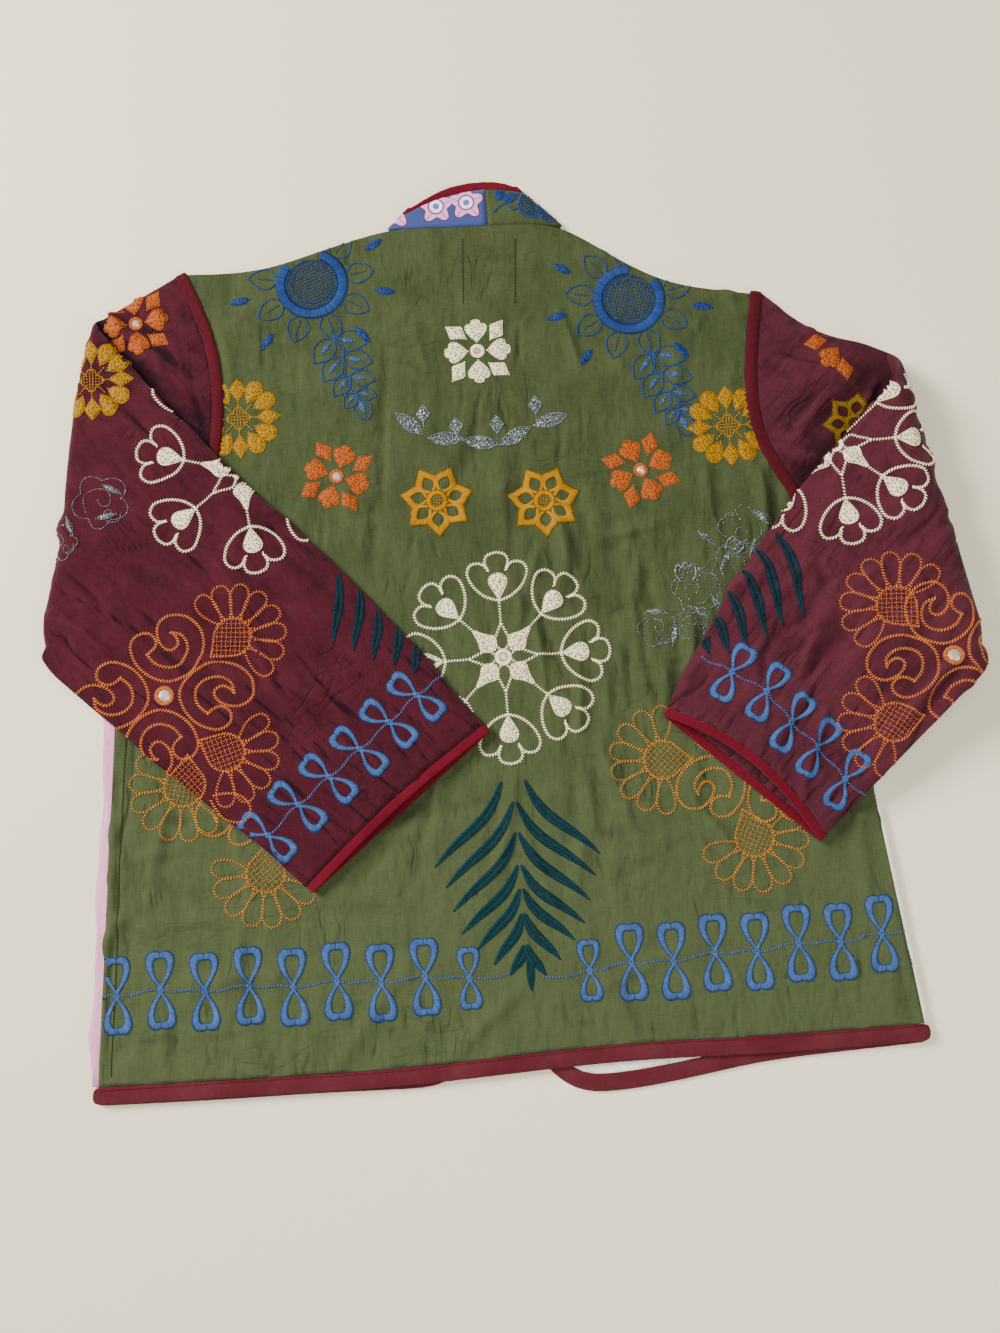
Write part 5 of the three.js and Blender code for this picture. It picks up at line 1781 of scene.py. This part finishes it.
left_nodes = hem_vine_nodes(-38, 68, -31, 0.8, 9)
left_nodes.append((-301, left_nodes[-1][1]))
right_nodes = [*hem_vine_nodes(47, 67, 29.7, 1.1, 8), (283, 77), (309, 79)]
for nodes in (left_nodes, right_nodes):
    sew(BACK, vine(nodes, "blue", "navy", 0, 180))
sew(BACK, rope("blue", smooth_line([(-10, 68), (-24, 66), (-38, 67)]), 0.75))
sew(BACK, rope("blue", smooth_line([(14, 64), (30, 63), (47, 66)]), 0.75))

sew_at(BACK, daisy("rust"), (-233, 216, 120), (-177, 151, 172), (112, 210, 88), (172, 150, -162))
sew_at(BACK, whorl("rust", 0.94), (176, 206, 32), (-168, 211, 30), flip=True)
SIDE_SEAM = [(-292, 20), (-287.5, 70), (-283.5, 125), (-278.5, 190), (-272, 260)]
sew(BACK, fine("seam", [(-4, 615), (-7, 565)], 0.8) + fine("seam", [(36, 612), (32, 562)], 0.8))
sew(BACK, fine("seam", smooth_line(SIDE_SEAM), 0.9))
print("sewn so far:", len(PATTERNS), "patterns")

# %% [markdown]
# The collar's green half shows the cut edge of another blossom: two latticed patches and two buds.

# %% The collar's embroidery
PATCH = half_shape([(0, -12), (9, -7), (12, 0), (8, 8), (0, 12)])
BUD = half_shape([(0, -6), (3.4, -1), (2.6, 4), (0, 6)])
patch = fine("deep_blue", PATCH, 1.2) + lattice("navy", PATCH, 1.7, 20, 0.8)
sew_at(COLLAR, patch, (52, 640, 30), (64, 634, 70, 0.8))
sew_at(COLLAR, filling("deep_blue", BUD), (27, 650, 160), (35, 646, 110))
sew(COLLAR, fine("deep_blue", smooth_line([(22, 636), (30, 641), (38, 636), (44, 648)]), 1.2))
print("sewn so far:", len(PATTERNS), "patterns")

# %% [markdown]
# The sleeves carry the same motifs in warmer colours. A fold cuts some of them: of the flower on the
# right upper arm only a heart and two lozenges stay in sight, one arm of the right sleeve's flower ends
# on the edge of the roll, and a petalled flower goes over the left roll, so it is sewn on both layers.

# %% The sleeves' embroidery
skewed = lozenge("orange", 21.5, 17, 12.5, 1.5)
cut_flower = moved(small_heart("orange"), 135) + moved(skewed, 88) + moved(skewed, 176)
cut_arm = moved(rope("cream", [(0, 7), (0, 42)], 0.85) + turned_head("cream"), -50)
sew_at(LEFT_TOP, hearts_flower("orange") + ring("orange", 3, 5.4), (-254, 567, 5))
sew_at(RIGHT_TOP, cut_flower, (276, 513))
for ground in (LEFT_ARM, LEFT_TOP):
    sew_at(ground, many_petals("mustard"), (-286, 521))
# The lotus under the right fold is worked in the darker mustard: painted shade.
sew_at(RIGHT_TOP, lotus("bronze"), (277, 449, 12, 0.86))
sew_at(LEFT_ARM, armed_flower("cream", [74, 127, 187, 236, 285, 330], True), (-180, 444))
sew_at(RIGHT_ARM, armed_flower("cream", [134, 184, 226, 268], True) + cut_arm, (255, 428, 0, 0.97))
sew_at(LEFT_ARM, cloud("silver"), (-282, 427, 10, 1.75), (-313, 399, 30, 1.15))
sew_at(LEFT_ARM, sliver("silver"), (-279, 417, 100), (-274, 437, 60), (-306, 412, 20))
sew(LEFT_ARM, rope("cream", smooth_line([(-242, 515), (-240, 505), (-230, 495), (-214, 489)])))

sew_at(LEFT_ARM, whorl("amber"), (-242, 282, -5))
sew_at(RIGHT_ARM, whorl("amber", 0.92), (319, 266, 8), flip=True)
big_petal = rope("amber", half_shape([(2.0, 14.6), (5.4, 19), (9.5, 28), (9, 36), (5.4, 42), (0, 44)]), 0.95)
sew_at(LEFT_ARM, daisy("amber", 8, 25), (-191, 321, -50))
sew_at(LEFT_ARM, daisy("amber", 6), (-200, 238, -118))
sew_at(LEFT_ARM, daisy("amber", 0), (-229, 217, 175))
sew_at(LEFT_ARM, big_petal, (-224, 213, -118))
sew_at(RIGHT_ARM, daisy("amber"), (284, 305, 40))
sew_at(RIGHT_ARM, daisy("amber", 6), (275, 223, 98))

LEFT_LEAVES = [((-113, 363), (-119, 311)), ((-98, 350), (-105, 305)), ((-86, 334), (-91, 297)),
               ((-72, 320), (-76, 292)), ((-60, 306), (-62, 285))]
RIGHT_LEAVES = [((207, 369), (221, 304)), ((192, 360), (205, 299)), ((180, 345), (193, 291)),
                ((169, 329), (178, 286)), ((156, 315), (165, 282)), ((146, 303), (151, 283))]
for ground, leaves, width, bend in ((LEFT_ARM, LEFT_LEAVES, 7.4, 0.04), (RIGHT_ARM, RIGHT_LEAVES, 7.6, 0.06)):
    for foot, tip in leaves:
        sew(ground, leaf("deep_teal", foot, tip, width, bend))
left_vine = [(-173, 177), (-150, 197), (-127, 215), (-104, 233), (-82, 251), (-61, 269), (-42, 282)]
right_vine = [(258, 166), (238, 186), (220, 210), (203, 229), (188, 252), (165, 268), (146, 281)]
sew(LEFT_ARM, vine(left_vine, "blue", "navy", 55, -135, 0.86, 1.0))
sew(RIGHT_ARM, vine(right_vine, "blue", "navy", -40, 148, 0.86, 1.0))
print("sewn so far:", len(PATTERNS), "patterns")

# %% [markdown]
# Plain lines of running stitch hold the bindings: one along the hem, one round each cuff, and a dark
# one where the left sleeve is seamed. The cuffs' lines lie on the binding and the sleeve together.

# %% Seams and top stitching
TRIM = Ground("trim", *trims, back_cloth, covers=sleeves_tree)
CUFFS = {
    "left": Ground("left_cuff", *trims, sleeve_left_cloth),
    "right": Ground("right_cuff", *trims, sleeve_right_cloth),
}


def shifted(line, aside):
    """A line moved to its left."""
    line = smooth_line(line)
    run = np.gradient(line, axis=0)
    run /= np.linalg.norm(run, axis=1)[:, None]
    return line + aside * np.column_stack((-run[:, 1], run[:, 0]))


sew(TRIM, fine("red", shifted(BACK_HEM_LINE, 4.6), 0.7))
for side, ground in CUFFS.items():
    sew(ground, fine("red", smooth_line(CUFF_LINES[side]), 0.6))
SLEEVE_SEAM = [(-300, 283), (-262, 246), (-225, 212), (-190, 181), (-152, 148)]
sew(LEFT_ARM, fine("plum", smooth_line(SLEEVE_SEAM), 0.6))
print("sewn so far:", len(PATTERNS), "patterns")

# %% [markdown]
# Small glasses sit in the rings of thread at the middle of the flowers. A flat disc would be a dull
# spot; with a bevel of eight facets, each glass catches the light somewhere.

# %% Mirrors
BEVEL, GLASS_RISE = 0.55, (0.3, 1.5)  # the top's share of the radius; the rim's and the top's height
# The glass's cream colour is partly painted reflection: a diffuse cream stands in for the bright room that
# the mirrors reflect, and only its metallic share reflects for real.
glass = Finish("mirror_glass").set(Base_Color="#cdb8a2", Metallic=0.45, Roughness=0.22)


def mirror(ground, spot, radius):
    """A faceted disc on the cloth."""
    flat = np.vstack((arc(spot, radius, 0, 315, 8), arc(spot, radius * BEVEL, 22, 337, 8)))
    places, ups, open_here = ground.lay(flat)
    if not open_here.all():
        return [], []
    up = ups.mean(axis=0) / 1000
    points = [p + up * rise for p, rise in zip(places, np.repeat(GLASS_RISE, 8))]
    faces = [tuple(range(8, 16)), tuple(range(7, -1, -1))]
    for i in range(8):
        j = (i + 1) % 8
        faces += [(i, j, 8 + i), (j, 8 + j, 8 + i)]
    return points, faces


glass_points, glass_faces = [], []
for ground, x, y, radius in (
    (BACK, 3, 293, 3.2), (BACK, -110, 437, 3.4), (BACK, 115, 425, 3.4), (BACK, 1, 526, 2.2),
    (LEFT_ARM, -242, 282, 4.6), (RIGHT_ARM, 319, 266, 4.6), (LEFT_TOP, -254, 567, 3.2),
):
    points, faces = mirror(ground, (x, y), radius)
    start = len(glass_points)
    glass_points += [tuple(p) for p in points]
    glass_faces += [tuple(start + i for i in face) for face in faces]
glass_mesh = bpy.data.meshes.new("mirrors")
glass_mesh.from_pydata(glass_points, [], glass_faces)
mirrors = make_piece("mirrors", glass_mesh, glass.material, "sewn_mirror")
glass_mesh.polygons.foreach_set("use_smooth", [False] * len(glass_mesh.polygons))
print("mirrors:", len(glass_faces) // 18)

# %% [markdown]
# Now the tree runs over every pattern, with the pattern's number as its seed, so the stitches come out
# the same each time. A pattern whose strokes were all covered is passed over.

# %% Stitch everything
embroidered = {}
for number, ((cloth, colour), pattern) in enumerate(PATTERNS.items()):
    if not pattern.edges and not pattern.faces:
        continue
    material = THREADS[colour]
    name = f"{colour}_on_{cloth}"
    mesh = work_stitches(name, pattern.mesh(name), material, number)
    if not mesh.polygons:
        continue
    slot = "metallic_thread" if colour == "silver" else "embroidery_thread"
    piece = make_piece(name, mesh, material, slot)
    embroidered.setdefault(cloth, []).append(piece)
    print(f"{name}: {len(pattern.edges)} edges, {len(mesh.polygons)} cells")
